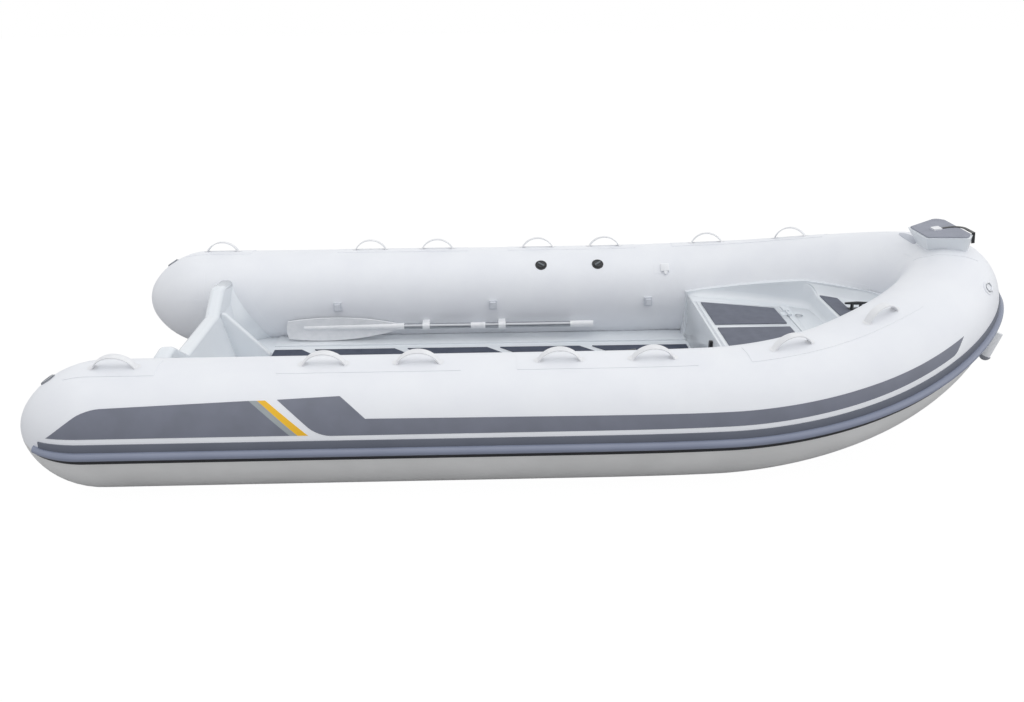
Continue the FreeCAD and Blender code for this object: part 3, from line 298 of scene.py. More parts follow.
def coated_cloth(name, colour, shade):
    material, tree, shader = finish_of(name, 0.42, 1.53)
    where = add(tree, "ShaderNodeUVMap", uv_map="cloth")
    mottle(tree, shader, (where, "UV"), colour, shade, 0.25)
    warp, weft = [add(tree, "ShaderNodeTexWave", {"Vector": (where, "UV"),
                                                  "Scale": 1 / (THREAD_SPACING * WAVES_PER_METRE)},
                      bands_direction=way) for way in ("X", "Y")]
    weave = add(tree, "ShaderNodeMath", {0: (warp, "Fac"), 1: (weft, "Fac")}, operation="MULTIPLY")
    emboss(tree, shader, (weave, "Value"), 0.00012)
    return material


white_cloth = coated_cloth("pvc_coated_cloth_white", "#EEF0F4", "#EAECF1")
grey_cloth = coated_cloth("pvc_coated_cloth_light_grey", "#DEDEDD", "#D6D6D5")

# The whole collar is one skin: white above the strake, light grey from under it to the keel side.
UNDERSIDE_LOW, UNDERSIDE_TOP = girth_at(-120), girth_at(-8)
CONE_RINGS, SIDE_RINGS, BOW_RINGS, ROUND_STEPS = 16, 60, 90, 96
SKIN_WELD = 0.0002
stops = [CONE_TIP + (CONE_BASE - CONE_TIP) * share ** 2 for share in spaced(0, 1, CONE_RINGS)]
stops += spaced(CONE_BASE, BOW_START, SIDE_RINGS)[1:] + spaced(BOW_START, STEM, BOW_RINGS)[1:]
work = bmesh.new()
bmesh.ops.create_grid(work, x_segments=len(stops) - 1, y_segments=ROUND_STEPS, size=0.5)
for vert in work.verts:
    vert.co.x = stops[round((vert.co.x + 0.5) * (len(stops) - 1))]
    vert.co.y = UNDERSIDE_LOW + (vert.co.y + 0.5) * 2 * math.pi * GIRTH_RADIUS
cloth_map(work)
for face in work.faces:
    face.material_index = int(face.calc_center_median().y < UNDERSIDE_TOP)
wrap(work)
bmesh.ops.remove_doubles(work, verts=work.verts[:], dist=SKIN_WELD)
mirrored(work, SKIN_WELD)
bmesh.ops.recalc_face_normals(work, faces=work.faces[:])
piece(work, "collar", (white_cloth, grey_cloth), "tube",
      replaces=("collar_bow_port", "collar_bow_starboard", "collar_nose", "collar_side_port",
                "collar_side_starboard", "cone_port", "cone_starboard"))


# ---------- painted panels
# Panels of coloured film on the outboard side, above the strake: a short panel aft, two thin
# stripes that lean with it, and a second panel that runs on as a long stripe towards the bow.
GLUE_LINE = -0.002                      # lower face of glued work, under the cloth's own surface
BEND_STEPS = (0.04, 0.02)               # along and round the tube
FILM_HIGH = 0.0008


def raised(bm, faces, high):
    """Gives flat work its thickness, and hands back its upper face."""
    grown = bmesh.ops.extrude_face_region(bm, geom=faces)["geom"]
    bmesh.ops.translate(bm, vec=(0, 0, high - GLUE_LINE), verts=only(grown, BMVert))
    return only(grown, BMFace)


def flat_cut(outline, high, rounding=()):
    """Cuts an outline of (length, degrees) from sheet, with some corners rounded to a size, and
    divides it finely enough to wrap."""
    bm = bmesh.new()
    corners = [bm.verts.new((run, girth_at(turn), GLUE_LINE)) for run, turn in outline]
    face = bm.faces.new(corners)
    bm.normal_update()
    if face.normal.z < 0:
        bmesh.ops.reverse_faces(bm, faces=[face])
    for spot, size in rounding:
        bmesh.ops.bevel(bm, geom=[corners[spot]], offset=size, segments=6, profile=0.5,
                        affect="VERTICES", material=-1)
    for axis, step in enumerate(BEND_STEPS):
        across = Vector((0, 0, 0))
        across[axis] = 1
        spread = [vert.co[axis] for vert in bm.verts]
        for line in range(math.floor(min(spread) / step) + 1, math.ceil(max(spread) / step)):
            bmesh.ops.bisect_plane(bm, geom=whole(bm), plane_co=across * (line * step), plane_no=across)
    raised(bm, bm.faces[:], high)
    return bm


def laid(bm, name, materials, slot, spine=None, both_sides=True, **more):
    """Maps flat work, wraps it on the tube, adds its starboard half and makes it a piece."""
    bmesh.ops.recalc_face_normals(bm, faces=bm.faces[:])
    cloth_map(bm)
    wrap(bm, spine)
    bmesh.ops.reverse_faces(bm, faces=bm.faces[:])      # since the wrap turns it inside out
    if both_sides:
        mirrored(bm)
    piece(bm, name, materials, slot, **more)


def film(name, colour, shade):
    """Vinyl film, calendered smooth: an even satin colour with a very faint orange peel."""
    material, tree, shader = finish_of(name, 0.38, 1.52)
    where = add(tree, "ShaderNodeUVMap", uv_map="cloth")
    mottle(tree, shader, (where, "UV"), colour, shade, 0.12)
    peel = add(tree, "ShaderNodeTexNoise", {"Vector": (where, "UV"), "Scale": 1 / 0.005})
    emboss(tree, shader, (peel, "Fac"), 0.0001)
    return material


slate_film = film("vinyl_film_slate", "#737785", "#6D717E")
silver_film = film("vinyl_film_silver", "#9FA6A8", "#989FA2")
yellow_film = film("vinyl_film_yellow", "#F3BE1E", "#EDB71B")
FILM_PANELS = (
    # name, film, outline as (length, degrees round the tube), rounded corners
    ("panel_aft", slate_film,
     ((-2.052, 12.6), (-1.883, 37.8), (-1.243, 43), (-1.079, 12.7)), ((1, 0.055),)),
    ("stripe_silver", silver_film,
     ((-1.243, 43), (-1.209, 43), (-1.048, 12.6), (-1.079, 12.7)), ()),
    ("stripe_yellow", yellow_film,
     ((-1.209, 43), (-1.177, 43.1), (-1.007, 12.6), (-1.048, 12.6)), ()),
    ("panel_fore", slate_film,
     ((-1.131, 43.6), (-0.882, 45.9), (-0.780, 26.0), (0.6, 24.7), (1.2, 24.6), (1.50, 24.0),
      (1.768, 24.0), (1.69, 13.4), (1.5, 13.2), (1.2, 12.6), (0.8, 12.2), (-0.968, 12.0)),
     ((11, 0.05), (7, 0.02))),
)
for name, colour_film, outline, rounding in FILM_PANELS:
    laid(flat_cut(outline, FILM_HIGH, rounding), name, (colour_film,), "tube", crease=30)

# ---------- rubbing strake
# An extruded rubber strake is glued along the widest line: a flat band, a half-round bead below
# it that takes the knocks, and a thin lip under the bead, coloured near-black as painted shadow
# under the bead. Its two halves end about 5 mm apart at the stem.
RUN_STEP = 0.02
STRAKE_END, BEAD_FOOT = -2.094, 0.002


def rubber(name, colour, shade, roughness):
    """Extruded EPDM rubber: a dull even colour, with fine lines drawn along its length."""
    material, tree, shader = finish_of(name, roughness, 1.5)
    where = add(tree, "ShaderNodeUVMap", uv_map="cloth")
    mottle(tree, shader, (where, "UV"), colour, shade, 0.3)
    drawn = add(tree, "ShaderNodeMapping", {"Vector": (where, "UV"), "Scale": (6.0, 220.0, 1.0)})
    lines = add(tree, "ShaderNodeTexNoise", {"Vector": (drawn, "Vector"), "Scale": 1.0})
    emboss(tree, shader, (lines, "Fac"), 0.0003)
    return material


band_rubber = rubber("epdm_rubber_slate", "#5F6471", "#595E6B", 0.5)
# The bead is coloured lighter than the band: painted sheen on its round face.
bead_rubber_painted_sheen = rubber("epdm_rubber_blue_grey_painted_sheen", "#858CA0", "#7F869A", 0.27)
# Near-black: painted shadow under the bead.
lip_rubber_painted_shadow = rubber("epdm_rubber_black_painted_shadow", "#1F2127", "#1A1C21", 0.55)


def run_along(profile, start, end):
    """A closed (girth, height) outline drawn along the tube between two lengths."""
    bm = bmesh.new()
    face = bm.faces.new([bm.verts.new((start, girth, lift)) for girth, lift in profile])
    count = round((end - start) / RUN_STEP)
    for step in range(count):
        moved = bmesh.ops.extrude_face_region(bm, geom=[face])["geom"]
        bmesh.ops.translate(bm, vec=((end - start) / count, 0, 0), verts=only(moved, BMVert))
        if step and face.is_valid:
            bmesh.ops.delete(bm, geom=[face], context="FACES_ONLY")
        face = only(moved, BMFace)[0]
    return bm


def bead_outline(top, low, lift, points=12):
    """Half-round that stands off the cloth between two girths."""
    middle, half = (top + low) / 2, (top - low) / 2
    arc = [(middle + half * math.cos(angle), BEAD_FOOT + lift * math.sin(angle))
           for angle in spaced(0, math.pi, points)]
    return arc + [(low, GLUE_LINE), (top, GLUE_LINE)]


STRAKE_RUNS = (
    # name, rubber, outline as (girth, height), aft end, nodes it stands for
    ("strake_band", band_rubber,
     [(0.037, GLUE_LINE), (0.037, 0.003), (0.034, 0.0055), (0.004, 0.0055), (0.004, GLUE_LINE)],
     STRAKE_END, ()),
    ("strake_bead", bead_rubber_painted_sheen, bead_outline(0.005, -0.030, 0.024), STRAKE_END - 0.03,
     ("strake_bow", "strake_side_port", "strake_side_starboard")),
    ("strake_lip", lip_rubber_painted_shadow,
     [(-0.028, GLUE_LINE), (-0.028, 0.007), (-0.045, 0.007), (-0.050, 0.003), (-0.050, GLUE_LINE)],
     STRAKE_END - 0.02, ()),
)
for name, strake_rubber, outline, aft_end, nodes in STRAKE_RUNS:
    laid(run_along(outline, aft_end, STEM), name, (strake_rubber,), "strake", replaces=nodes, crease=50)

# ---------- grab handles
# Each handle is a woven strap arched over the crown, welded to the cloth at two round feet, and
# each pair stands on one long patch of doubled cloth.
HANDLE_TURN, PATCH_TURN = 83, 13                # degrees round the tube, and half a patch's width
HANDLE_PLACES = (-1.817, -0.963, -0.577, 0.007, 0.399, BOW_START + 0.335, BOW_START + 0.825)
HANDLE_PATCHES = ((-2.01, -1.64), (-1.15, -0.40), (-0.17, 0.58), (0.80, 1.70))
HANDLE_GIRTH = girth_at(HANDLE_TURN)
STRAP_HALF, STRAP_RISE, STRAP_THICK, STRAP_WIDE = 0.090, 0.057, 0.006, 0.036
FOOT_RADIUS, FOOT_LIFT = 0.021, 0.0028


def joined(bm, other):
    """Adds a second piece of work to the first."""
    holder = bpy.data.meshes.new("holder")
    other.to_mesh(holder)
    other.free()
    bm.from_mesh(holder)
    bpy.data.meshes.remove(holder)


work = bmesh.new()
low, top = HANDLE_TURN - PATCH_TURN, HANDLE_TURN + PATCH_TURN
for start, end in HANDLE_PATCHES:
    joined(work, flat_cut(((start, low), (end, low), (end, top), (start, top)), 0.0020))
laid(work, "handle_patches", (white_cloth,), "tube", crease=30)

# TPU-coated webbing: white, close-woven and smooth, with a rib every 3 mm across it.
strap_white, strap_tree, strap_shader = finish_of("tpu_webbing_white", 0.46, 1.5)
strap_where = add(strap_tree, "ShaderNodeUVMap", uv_map="cloth")
mottle(strap_tree, strap_shader, (strap_where, "UV"), "#F0F1F3", "#E9EAED", 0.05)
ribs = add(strap_tree, "ShaderNodeTexWave", {"Vector": (strap_where, "UV"), "Scale": 100.0},
           bands_direction="X")
emboss(strap_tree, strap_shader, (ribs, "Fac"), 0.0004)


def arched_strap(bm, place):
    """One handle about its place on the flat cloth: an arched strap and two flat feet."""
    half, thick, rise = STRAP_WIDE / 2, STRAP_THICK / 2, STRAP_RISE - 0.004
    arch = (STRAP_HALF ** 2 + rise ** 2) / (2 * rise)
    middle = STRAP_RISE - arch
    swing = 1.04 * math.asin(STRAP_HALF / arch)
    section = ((-half, -0.6), (-half + 0.003, -1), (half - 0.003, -1), (half, -0.6),
               (half, 0.6), (half - 0.004, 1), (-half + 0.004, 1), (-half, 0.6))
    ring = [bm.verts.new((place, HANDLE_GIRTH + across, middle + arch - thick + up * thick))
            for across, up in section]
    face = bm.faces.new(ring)
    pivot = (place, HANDLE_GIRTH, middle)
    bmesh.ops.rotate(bm, cent=pivot, matrix=Matrix.Rotation(-swing, 3, "Y"), verts=ring)
    bmesh.ops.spin(bm, geom=[face], cent=pivot, axis=(0, 1, 0), angle=2 * swing, steps=26,
                   use_merge=False)
    for end in (-1, 1):
        foot = bmesh.ops.create_circle(bm, cap_ends=True, segments=28, radius=FOOT_RADIUS)["verts"]
        bmesh.ops.translate(bm, vec=(place + end * (STRAP_HALF - 0.003), HANDLE_GIRTH, FOOT_LIFT), verts=foot)


work = bmesh.new()
for place in HANDLE_PLACES:
    arched_strap(work, place)
laid(work, "grab_handles", (strap_white,), "webbing", spine=HANDLE_GIRTH,
     replaces=("grab_handles_port", "grab_handles_starboard"))

# ---------- bonding strips and patches
# Strips of the same white cloth, glued over each joint: along the coaming's edge, round the base
# of each stern cone and along its inboard flank. Patches lie under the stern wings, the nose step
# and the relief valves.
COAMING_AFT, COAMING_LOW, COAMING_RISE, COAMING_CAP = 0.823, 0.372, 0.2205, 0.501
COAMING_RUN, STRIP_UP, STRIP_DOWN = (0.86, 2.04), 0.026, 0.006
CONE_TAPE, FLANK_TAPE = (-0.014, -0.005, 0.005, 0.014), (-2.02, -1.78)
COAMING_CLOTH, TAPE_CLOTH, PATCH_CLOTH = 0.0012, 0.0006, 0.0014         # thicknesses


def coaming_height(x):
    return min(COAMING_CAP, COAMING_LOW + COAMING_RISE * (x - COAMING_AFT))


def coaming_girth(run):
    """Girth at which the tube's inboard side meets the coaming's edge."""
    centre, outward, upward, wide = station(run)
    turn = math.radians(100)
    while turn < math.radians(215):
        spot = centre + (outward * math.cos(turn) + upward * math.sin(turn)) * wide
        if spot.z < coaming_height(spot.x):
            break
        turn += math.radians(0.2)
    return turn * GIRTH_RADIUS


def bridged(bm, rows, closed=False):
    """Faces between rows of corners, and round each row where it is closed."""
    return [bm.faces.new((before[k - 1], after[k - 1], after[k], before[k]))
            for before, after in zip(rows, rows[1:]) for k in range(0 if closed else 1, len(before))]


def ribbon(bm, runs, low_girth, top_girth, high):
    """A strip of cloth between two girths that may change along its length."""
    rows = []
    for run in runs:
        low, top = low_girth(run), top_girth(run)
        steps = max(4, round((top - low) / RUN_STEP))
        rows.append([bm.verts.new((run, girth, GLUE_LINE)) for girth in spaced(low, top, steps)])
    raised(bm, bridged(bm, rows), high)


def oval_patch(bm, place, radii, slant=0.0, high=0.003):
    """An oval patch about a (length, girth) place, ringed so that it bends with the tube."""
    rim = bmesh.ops.create_circle(bm, cap_ends=True, segments=32, radius=1.0)["verts"]
    disc = rim[0].link_faces[:]
    bmesh.ops.scale(bm, vec=(*radii, 1), verts=rim)
    bmesh.ops.rotate(bm, matrix=Matrix.Rotation(slant, 3, "Z"), verts=rim)
    bmesh.ops.translate(bm, vec=(*place, GLUE_LINE), verts=rim)
    cap = raised(bm, disc, high)
    for _ in range(3):
        bmesh.ops.inset_region(bm, faces=cap, thickness=0.24 * min(radii))


work = bmesh.new()
ribbon(work, spaced(*COAMING_RUN, 70), lambda run: coaming_girth(run) - STRIP_UP,
       lambda run: coaming_girth(run) + STRIP_DOWN, COAMING_CLOTH)
ribbon(work, [CONE_BASE + off for off in CONE_TAPE], lambda run: girth_at(100), lambda run: girth_at(232),
       TAPE_CLOTH)
ribbon(work, spaced(*FLANK_TAPE, 12), lambda run: girth_at(163), lambda run: girth_at(166), TAPE_CLOTH)
CLOTH_PATCHES = (
    # outline as (length, degrees round the tube), rounded corners: stern wing, nose step, relief valve
    (((-1.745, 137), (-1.700, 160), (-1.664, 182), (-1.612, 214), (-1.530, 232), (-1.467, 217),
      (-1.529, 197), (-1.602, 167.5), (-1.676, 124), (-1.700, 120)), ()),
    (((STEM, 141), (2.246, 139), (2.190, 117), (2.172, 92), (2.196, 62), (STEM, 57)), ((3, 0.05),)),
    (((0.660, 129), (0.744, 129), (0.744, 142), (0.660, 142)), ()),
)
for outline, rounding in CLOTH_PATCHES:
    joined(work, flat_cut(outline, PATCH_CLOTH, rounding))
laid(work, "joint_strips", (white_cloth,), "tube", crease=30)

# One oval pad of grey cloth lies on the tube beside the nose step, on the port side alone.
OVAL_PAD_PLACE, OVAL_PAD_RADII, OVAL_PAD_SLANT = (2.190, girth_at(109)), (0.096, 0.021), math.radians(36)
oval_pad_cloth = coated_cloth("pvc_coated_cloth_oval_pad_grey", "#C3C7D0", "#BBBFC9")
work = bmesh.new()
oval_patch(work, OVAL_PAD_PLACE, OVAL_PAD_RADII, OVAL_PAD_SLANT)
laid(work, "grey_oval_pad", (oval_pad_cloth,), "tube", both_sides=False, crease=30)

# ---------- hull, deck and transom
# The hull, deck liner and transom are glass fibre laid up in polished moulds. The outer skin is
# gelcoat: hard, pale and glossy, with a long soft waviness in its reflections. The transom leans:
# its after side goes aft as it rises, and its inner face comes forward at the foot.
TRANSOM_AFT, TRANSOM_THICK = -1.770, 0.058
LEAN_CUTS = (0.15, 0.25, 0.345, 0.366)                      # heights at which the faces may bend
INNER_SLOPE, INNER_TOP = 0.23, 0.345
AFTER_LEAN, AFTER_START, AFTER_RISE = 0.017, 0.15, 0.2
SHOULDER_SPREAD, SHOULDER_START, SHOULDER_RISE = 0.045, 0.366, 0.08
SHOULDER_INNER, SHOULDER_PEAK, SHOULDER_OUTER = 0.262, 0.372, 0.600
EDGE_TURN = math.radians(35)                                # edges sharper than this are rounded


def moulded_skin(name, colour, shade):
    material, tree, shader = finish_of(name, 0.24, 1.53)
    where = add(tree, "ShaderNodeTexCoord")
    mottle(tree, shader, (where, "Object"), colour, shade, 0.5)
    wave = add(tree, "ShaderNodeTexNoise", {"Vector": (where, "Object"), "Scale": 1 / 0.09, "Detail": 1.0})
    emboss(tree, shader, (wave, "Fac"), 0.0008)
    shader.inputs["Coat Weight"].default_value = 0.25
    shader.inputs["Coat Roughness"].default_value = 0.12
    return material


gelcoat = moulded_skin("gelcoat_pale", "#E9EDF1", "#E2E7EC")


def clamped(value):
    return min(1.0, max(0.0, value))


def leaned(bm):
    """Leans work on the transom with it, and spreads the shoulders outboard."""
    for high in LEAN_CUTS:
        bmesh.ops.bisect_plane(bm, geom=whole(bm), plane_co=(0, 0, high), plane_no=(0, 0, 1))
    for vert in bm.verts:
        x, y, z = vert.co
        inner = clamped((x - TRANSOM_AFT) / TRANSOM_THICK)
        edge = SHOULDER_INNER if abs(y) < SHOULDER_PEAK else SHOULDER_OUTER
        spread = SHOULDER_SPREAD * clamped((abs(y) - edge) / (SHOULDER_PEAK - edge))
        vert.co.x += inner * INNER_SLOPE * max(0.0, INNER_TOP - z)
        vert.co.x -= (1 - inner) * AFTER_LEAN * clamped((z - AFTER_START) / AFTER_RISE)
        vert.co.y += math.copysign(spread * clamped((z - SHOULDER_START) / SHOULDER_RISE), y)


def rounded_copy(node, name, material, slot, radius, body="boat", shape=None, crease=40):
    """A part's own solid with its hard edges rounded over, and shaped where it needs it."""
    bm = bmesh.new()
    bm.from_mesh(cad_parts[node].data)
    bmesh.ops.remove_doubles(bm, verts=bm.verts[:], dist=0.00002)
    bmesh.ops.dissolve_limit(bm, angle_limit=math.radians(1.0), verts=bm.verts[:], edges=bm.edges[:])
    bm.normal_update()
    edges = [edge for edge in bm.edges if len(edge.link_faces) == 2 and edge.calc_face_angle(0.0) > EDGE_TURN]
    if radius:
        bmesh.ops.bevel(bm, geom=edges, offset=radius, segments=2, profile=0.5, affect="EDGES",
                        clamp_overlap=True, material=-1)
    if shape:
        shape(bm)
    return piece(bm, name, (material,), slot, body, (node,), crease)


def finished(node, material):
    """Gives one of the frame's own parts its finish."""
    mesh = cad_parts[node].data
    mesh.materials.clear()
    mesh.materials.append(material)


for node in ("hull_bottom", "bow_moulding", "deck_liner", "transom_wing_port", "transom_wing_starboard"):
    finished(node, gelcoat)
for node, radius in (("transom_knee_port", 0.006), ("transom_knee_starboard", 0.006), ("step_locker", 0.004)):
    rounded_copy(node, node + "_skin", gelcoat, "gelcoat", radius)
rounded_copy("transom", "transom_skin", gelcoat, "gelcoat", 0.0, shape=leaned, crease=62)
rounded_copy("step_lid", "step_lid_skin", gelcoat, "gelcoat", 0.004, body="lid")

# ---------- nose step
# The nose step is a moulded block that stands over the bow tube and leans inboard as it goes down.
# Its plan has three corners a side, and its top tilts up towards the stem.
NOSE_TOP = ((1.827, 0.106), (1.998, 0.190), (2.033, 0.140))       # port corners x, y
NOSE_FOOT = ((1.860, 0.066), (2.002, 0.164), (2.026, 0.132))
NOSE_ROUND = (0.012, 0.026, 0.026)
NOSE_PIVOT, NOSE_TILT = Vector((1.930, 0, 0.848)), math.radians(7)
NOSE_FOOT_HEIGHT, NOSE_SUNK_HEIGHT = 0.775, 0.700


def eased(start, corner, end, steps):
    """Points of a smooth bend from start to end that is drawn towards a corner."""
    return [start.lerp(corner, share).lerp(corner.lerp(end, share), share) for share in spaced(0, 1, steps)]


def rounded_plan(corners):
    """Closed level outline from its port corners, each rounded by the nose step's radii."""
    port = list(zip(corners, NOSE_ROUND))
    plan = port + [((x, -y), radius) for (x, y), radius in reversed(port)]
    ring = []
    for k, (spot, radius) in enumerate(plan):
        corner = Vector(spot)
        back = (Vector(plan[k - 1][0]) - corner).normalized()
        on = (Vector(plan[(k + 1) % len(plan)][0]) - corner).normalized()
        reach = radius / math.tan(back.angle(on) / 2)
        ring += eased(corner + back * reach, corner, corner + on * reach, 8)
    return ring


def nose_place(point, lift=0.0):
    """A plan point carried on to the step's tilted top."""
    along = point.x - NOSE_PIVOT.x
    return Vector((NOSE_PIVOT.x + along * math.cos(NOSE_TILT) - lift * math.sin(NOSE_TILT), point.y,
                   NOSE_PIVOT.z + along * math.sin(NOSE_TILT) + lift * math.cos(NOSE_TILT)))


def skinned(rings, radius):
    """A closed solid through level rings, its top edge rounded over."""
    bm = bmesh.new()
    rows = [[bm.verts.new(point) for point in ring] for ring in rings]
    bridged(bm, rows, closed=True)
    bm.faces.new(rows[0])
    top = bm.faces.new(rows[-1][::-1])
    bmesh.ops.bevel(bm, geom=top.edges[:], offset=radius, segments=3, profile=0.5, affect="EDGES",
                    material=-1)
    bmesh.ops.recalc_face_normals(bm, faces=bm.faces[:])
    return bm


top_ring = [nose_place(point) for point in rounded_plan(NOSE_TOP)]
foot_ring = [Vector((point.x, point.y, NOSE_FOOT_HEIGHT)) for point in rounded_plan(NOSE_FOOT)]
sunk_ring = [foot + (foot - top) * (NOSE_FOOT_HEIGHT - NOSE_SUNK_HEIGHT) / (top.z - NOSE_FOOT_HEIGHT)
             for foot, top in zip(foot_ring, top_ring)]
piece(skinned([sunk_ring, foot_ring, top_ring], 0.004), "nose_step_skin", (gelcoat,), "gelcoat",
      replaces=("nose_step",))

# ---------- lid seal
# A white rubber seal fills the gap round the lid on the three sides that lift clear. It is glued
# to the platform, stays with the boat and stops short of the hinge.
PLATFORM_TOP = 0.358
LID_AFT, LID_FORE, LID_AFT_HALF, LID_FORE_HALF, LID_GAP = 0.853, 1.285, 0.388, 0.280, 0.006
SEAL_SHORT, SEAL_FLARE, SEAL_HEIGHTS = 0.02, 0.005, (PLATFORM_TOP - 0.012, PLATFORM_TOP - 0.0012)
seal_rubber = rubber("rubber_white_seal", "#D6DAE0", "#CED2D9", 0.5)
work = bmesh.new()
loops = []
for grow in (0.0006, LID_GAP - 0.0003):
    port = [(LID_AFT - grow, LID_AFT_HALF + grow), (LID_FORE - SEAL_SHORT, LID_FORE_HALF + SEAL_FLARE + grow)]
    plan = [(x, -y) for x, y in reversed(port)] + port
    loops += [[work.verts.new((x, y, high)) for x, y in plan] for high in SEAL_HEIGHTS]
low_in, top_in, low_out, top_out = loops
bridged(work, (low_in, top_in, top_out, low_out, low_in))
for k in (0, -1):
    work.faces.new((low_in[k], top_in[k], top_out[k], low_out[k]))
bmesh.ops.recalc_face_normals(work, faces=work.faces[:])
cloth_map(work)
piece(work, "lid_seal", (seal_rubber,), "white_rubber")

# ---------- bow deck and platform
# The deck mould is swept up to the coaming in soft coves, so no hard corner holds water: the bow
# deck curves up at its sides, and a fillet runs round the platform over the locker.
BOW_TOP, BOW_FACE, FACE_LOW = 0.438, 1.452, 0.345
WELL_SIDE, WELL_NOSE = ((0.823, 0.508), (1.240, 0.372), (1.618, 0.148)), 1.715      # places x, y
SIDE_CENTRE, SIDE_RADIUS = circle_through(*WELL_SIDE)
TIP_CENTRE, TIP_RADIUS = circle_through(WELL_SIDE[2], (WELL_NOSE, 0), (WELL_SIDE[2][0], -WELL_SIDE[2][1]))
SWEEP, LIP_ROUND, DECK_PARTS = 0.050, 0.008, 29
COVE_WIDE, COVE_UNDER = 0.046, 0.008            # the sweep's width, and how far it stays under the edge
DECK_WELD = 0.0004


def well_half(x):
    """Half-width inside the coaming at a place along the boat."""
    centre, radius = (SIDE_CENTRE, SIDE_RADIUS) if x < WELL_SIDE[2][0] else (TIP_CENTRE, TIP_RADIUS)
    return centre.y + math.sqrt(max(0.0, radius ** 2 - (x - centre.x) ** 2))


def turned_in(line, spot):
    """Level direction square to a line of points, to its inboard and aft side."""
    way = line[min(spot + 1, len(line) - 1)] - line[max(spot - 1, 0)]
    return Vector((-abs(way.y), -abs(way.x))).normalized()


def deck_height(point):
    """The bow deck is level in the middle and swept up to the coaming at its sides."""
    side = well_half(point.x)
    wide = min(COVE_WIDE, 0.8 * side)
    climb = max(0.0, (point.y - side + wide) / wide) if wide > 1e-4 else 0.0
    return BOW_TOP + (min(coaming_height(point.x), 0.499) - COVE_UNDER - BOW_TOP) * climb ** 1.6


# The deck's after face is straight across the boat and turns aft into the coaming at each side.
corner = Vector((BOW_FACE, well_half(BOW_FACE)))
face_end = Vector((BOW_FACE, corner.y - SWEEP))
side_end = Vector((BOW_FACE - SWEEP, well_half(BOW_FACE - SWEEP)))
face_line = [Vector((BOW_FACE, face_end.y * k / 8)) for k in range(8)] + eased(face_end, corner, side_end, 10)
work = bmesh.new()
rows = []
for spot, start in enumerate(face_line):
    share = min(1.0, start.y / well_half(start.x))
    inboard = turned_in(face_line, spot)
    top = [Vector((x, share * well_half(x), 0)) for x in spaced(start.x, WELL_NOSE - 0.0005, DECK_PARTS)]
    for point in top:
        point.z = deck_height(point)
    lip = []
    for angle in (math.radians(90), math.radians(60), math.radians(30)):
        place = start - inboard * LIP_ROUND * (1 - math.sin(angle))
        lip.append(Vector((place.x, place.y, top[0].z - LIP_ROUND * (1 - math.cos(angle)))))
    top[0].xy = start - inboard * LIP_ROUND
    rows.append([work.verts.new(point) for point in [Vector((start.x, start.y, FACE_LOW))] + lip + top])
bridged(work, rows)
mirrored(work, DECK_WELD)
rim = [edge for edge in work.edges if edge.is_boundary]
sunk = bmesh.ops.extrude_edge_only(work, edges=rim)["geom"]
for vert in only(sunk, BMVert):
    vert.co.z = FACE_LOW - 0.005
bmesh.ops.holes_fill(work, edges=[edge for edge in only(sunk, BMEdge) if edge.is_boundary], sides=0)
bmesh.ops.recalc_face_normals(work, faces=work.faces[:])
piece(work, "bow_deck_skin", (gelcoat,), "gelcoat", replaces=("bow_deck",), crease=50)

# The fillet grows from nothing at the locker's edge, and is smaller across the deck's face.
COVE_START, COVE_FADE, COVE_PARTS = 0.846, (0.840, 0.07), 20
SIDE_ROUND, FACE_ROUND, COVE_BACK, COVE_SUNK = 0.038, 0.016, -0.003, -0.004
side_line = [Vector((x, well_half(x))) for x in spaced(COVE_START, side_end.x, COVE_PARTS)[:-1]]
cove_line = side_line + face_line[::-1]
work = bmesh.new()
rows = []
for spot, start in enumerate(cove_line):
    inboard = turned_in(cove_line, spot)
    radius = SIDE_ROUND
    if spot >= COVE_PARTS:
        radius = FACE_ROUND + (SIDE_ROUND - FACE_ROUND) * (start.y / side_end.y) ** 3
    radius *= min(1.0, (start.x - COVE_FADE[0]) / COVE_FADE[1])
    hollow = [(radius * (1 - math.sin(angle)), radius * (1 - math.cos(angle)))
              for angle in spaced(0, math.pi / 2, 6)]
    outline = [(COVE_BACK, COVE_SUNK), (radius, COVE_SUNK)] + hollow + [(COVE_BACK, radius)]
    rows.append([work.verts.new((start.x + inboard.x * off, start.y + inboard.y * off, PLATFORM_TOP + up))
                 for off, up in outline])
bridged(work, rows, closed=True)
work.faces.new(rows[0])
mirrored(work, DECK_WELD)
bmesh.ops.recalc_face_normals(work, faces=work.faces[:])
piece(work, "platform_cove", (gelcoat,), "gelcoat", crease=50)

# ---------- foam pads
# Closed-cell EVA foam, milled flat with a brushed grain and glued down: dark on the cockpit sole,
# a lighter grey on the steps, and paler still on the nose step, where it leaves a rim.
PAD_MARGIN, PAD_THICK = 0.009, 0.006


def foam(name, colour, shade):
    material, tree, shader = finish_of(name, 0.85, 1.45)
    where = add(tree, "ShaderNodeTexCoord")
    mottle(tree, shader, (where, "Object"), colour, shade, 0.06)
    brushed = add(tree, "ShaderNodeMapping", {"Vector": (where, "Object"), "Scale": (40.0, 400.0, 400.0)})
    grain = add(tree, "ShaderNodeTexNoise", {"Vector": (brushed, "Vector"), "Scale": 1.0, "Detail": 4.0})
    emboss(tree, shader, (grain, "Fac"), 0.0012)
    return material


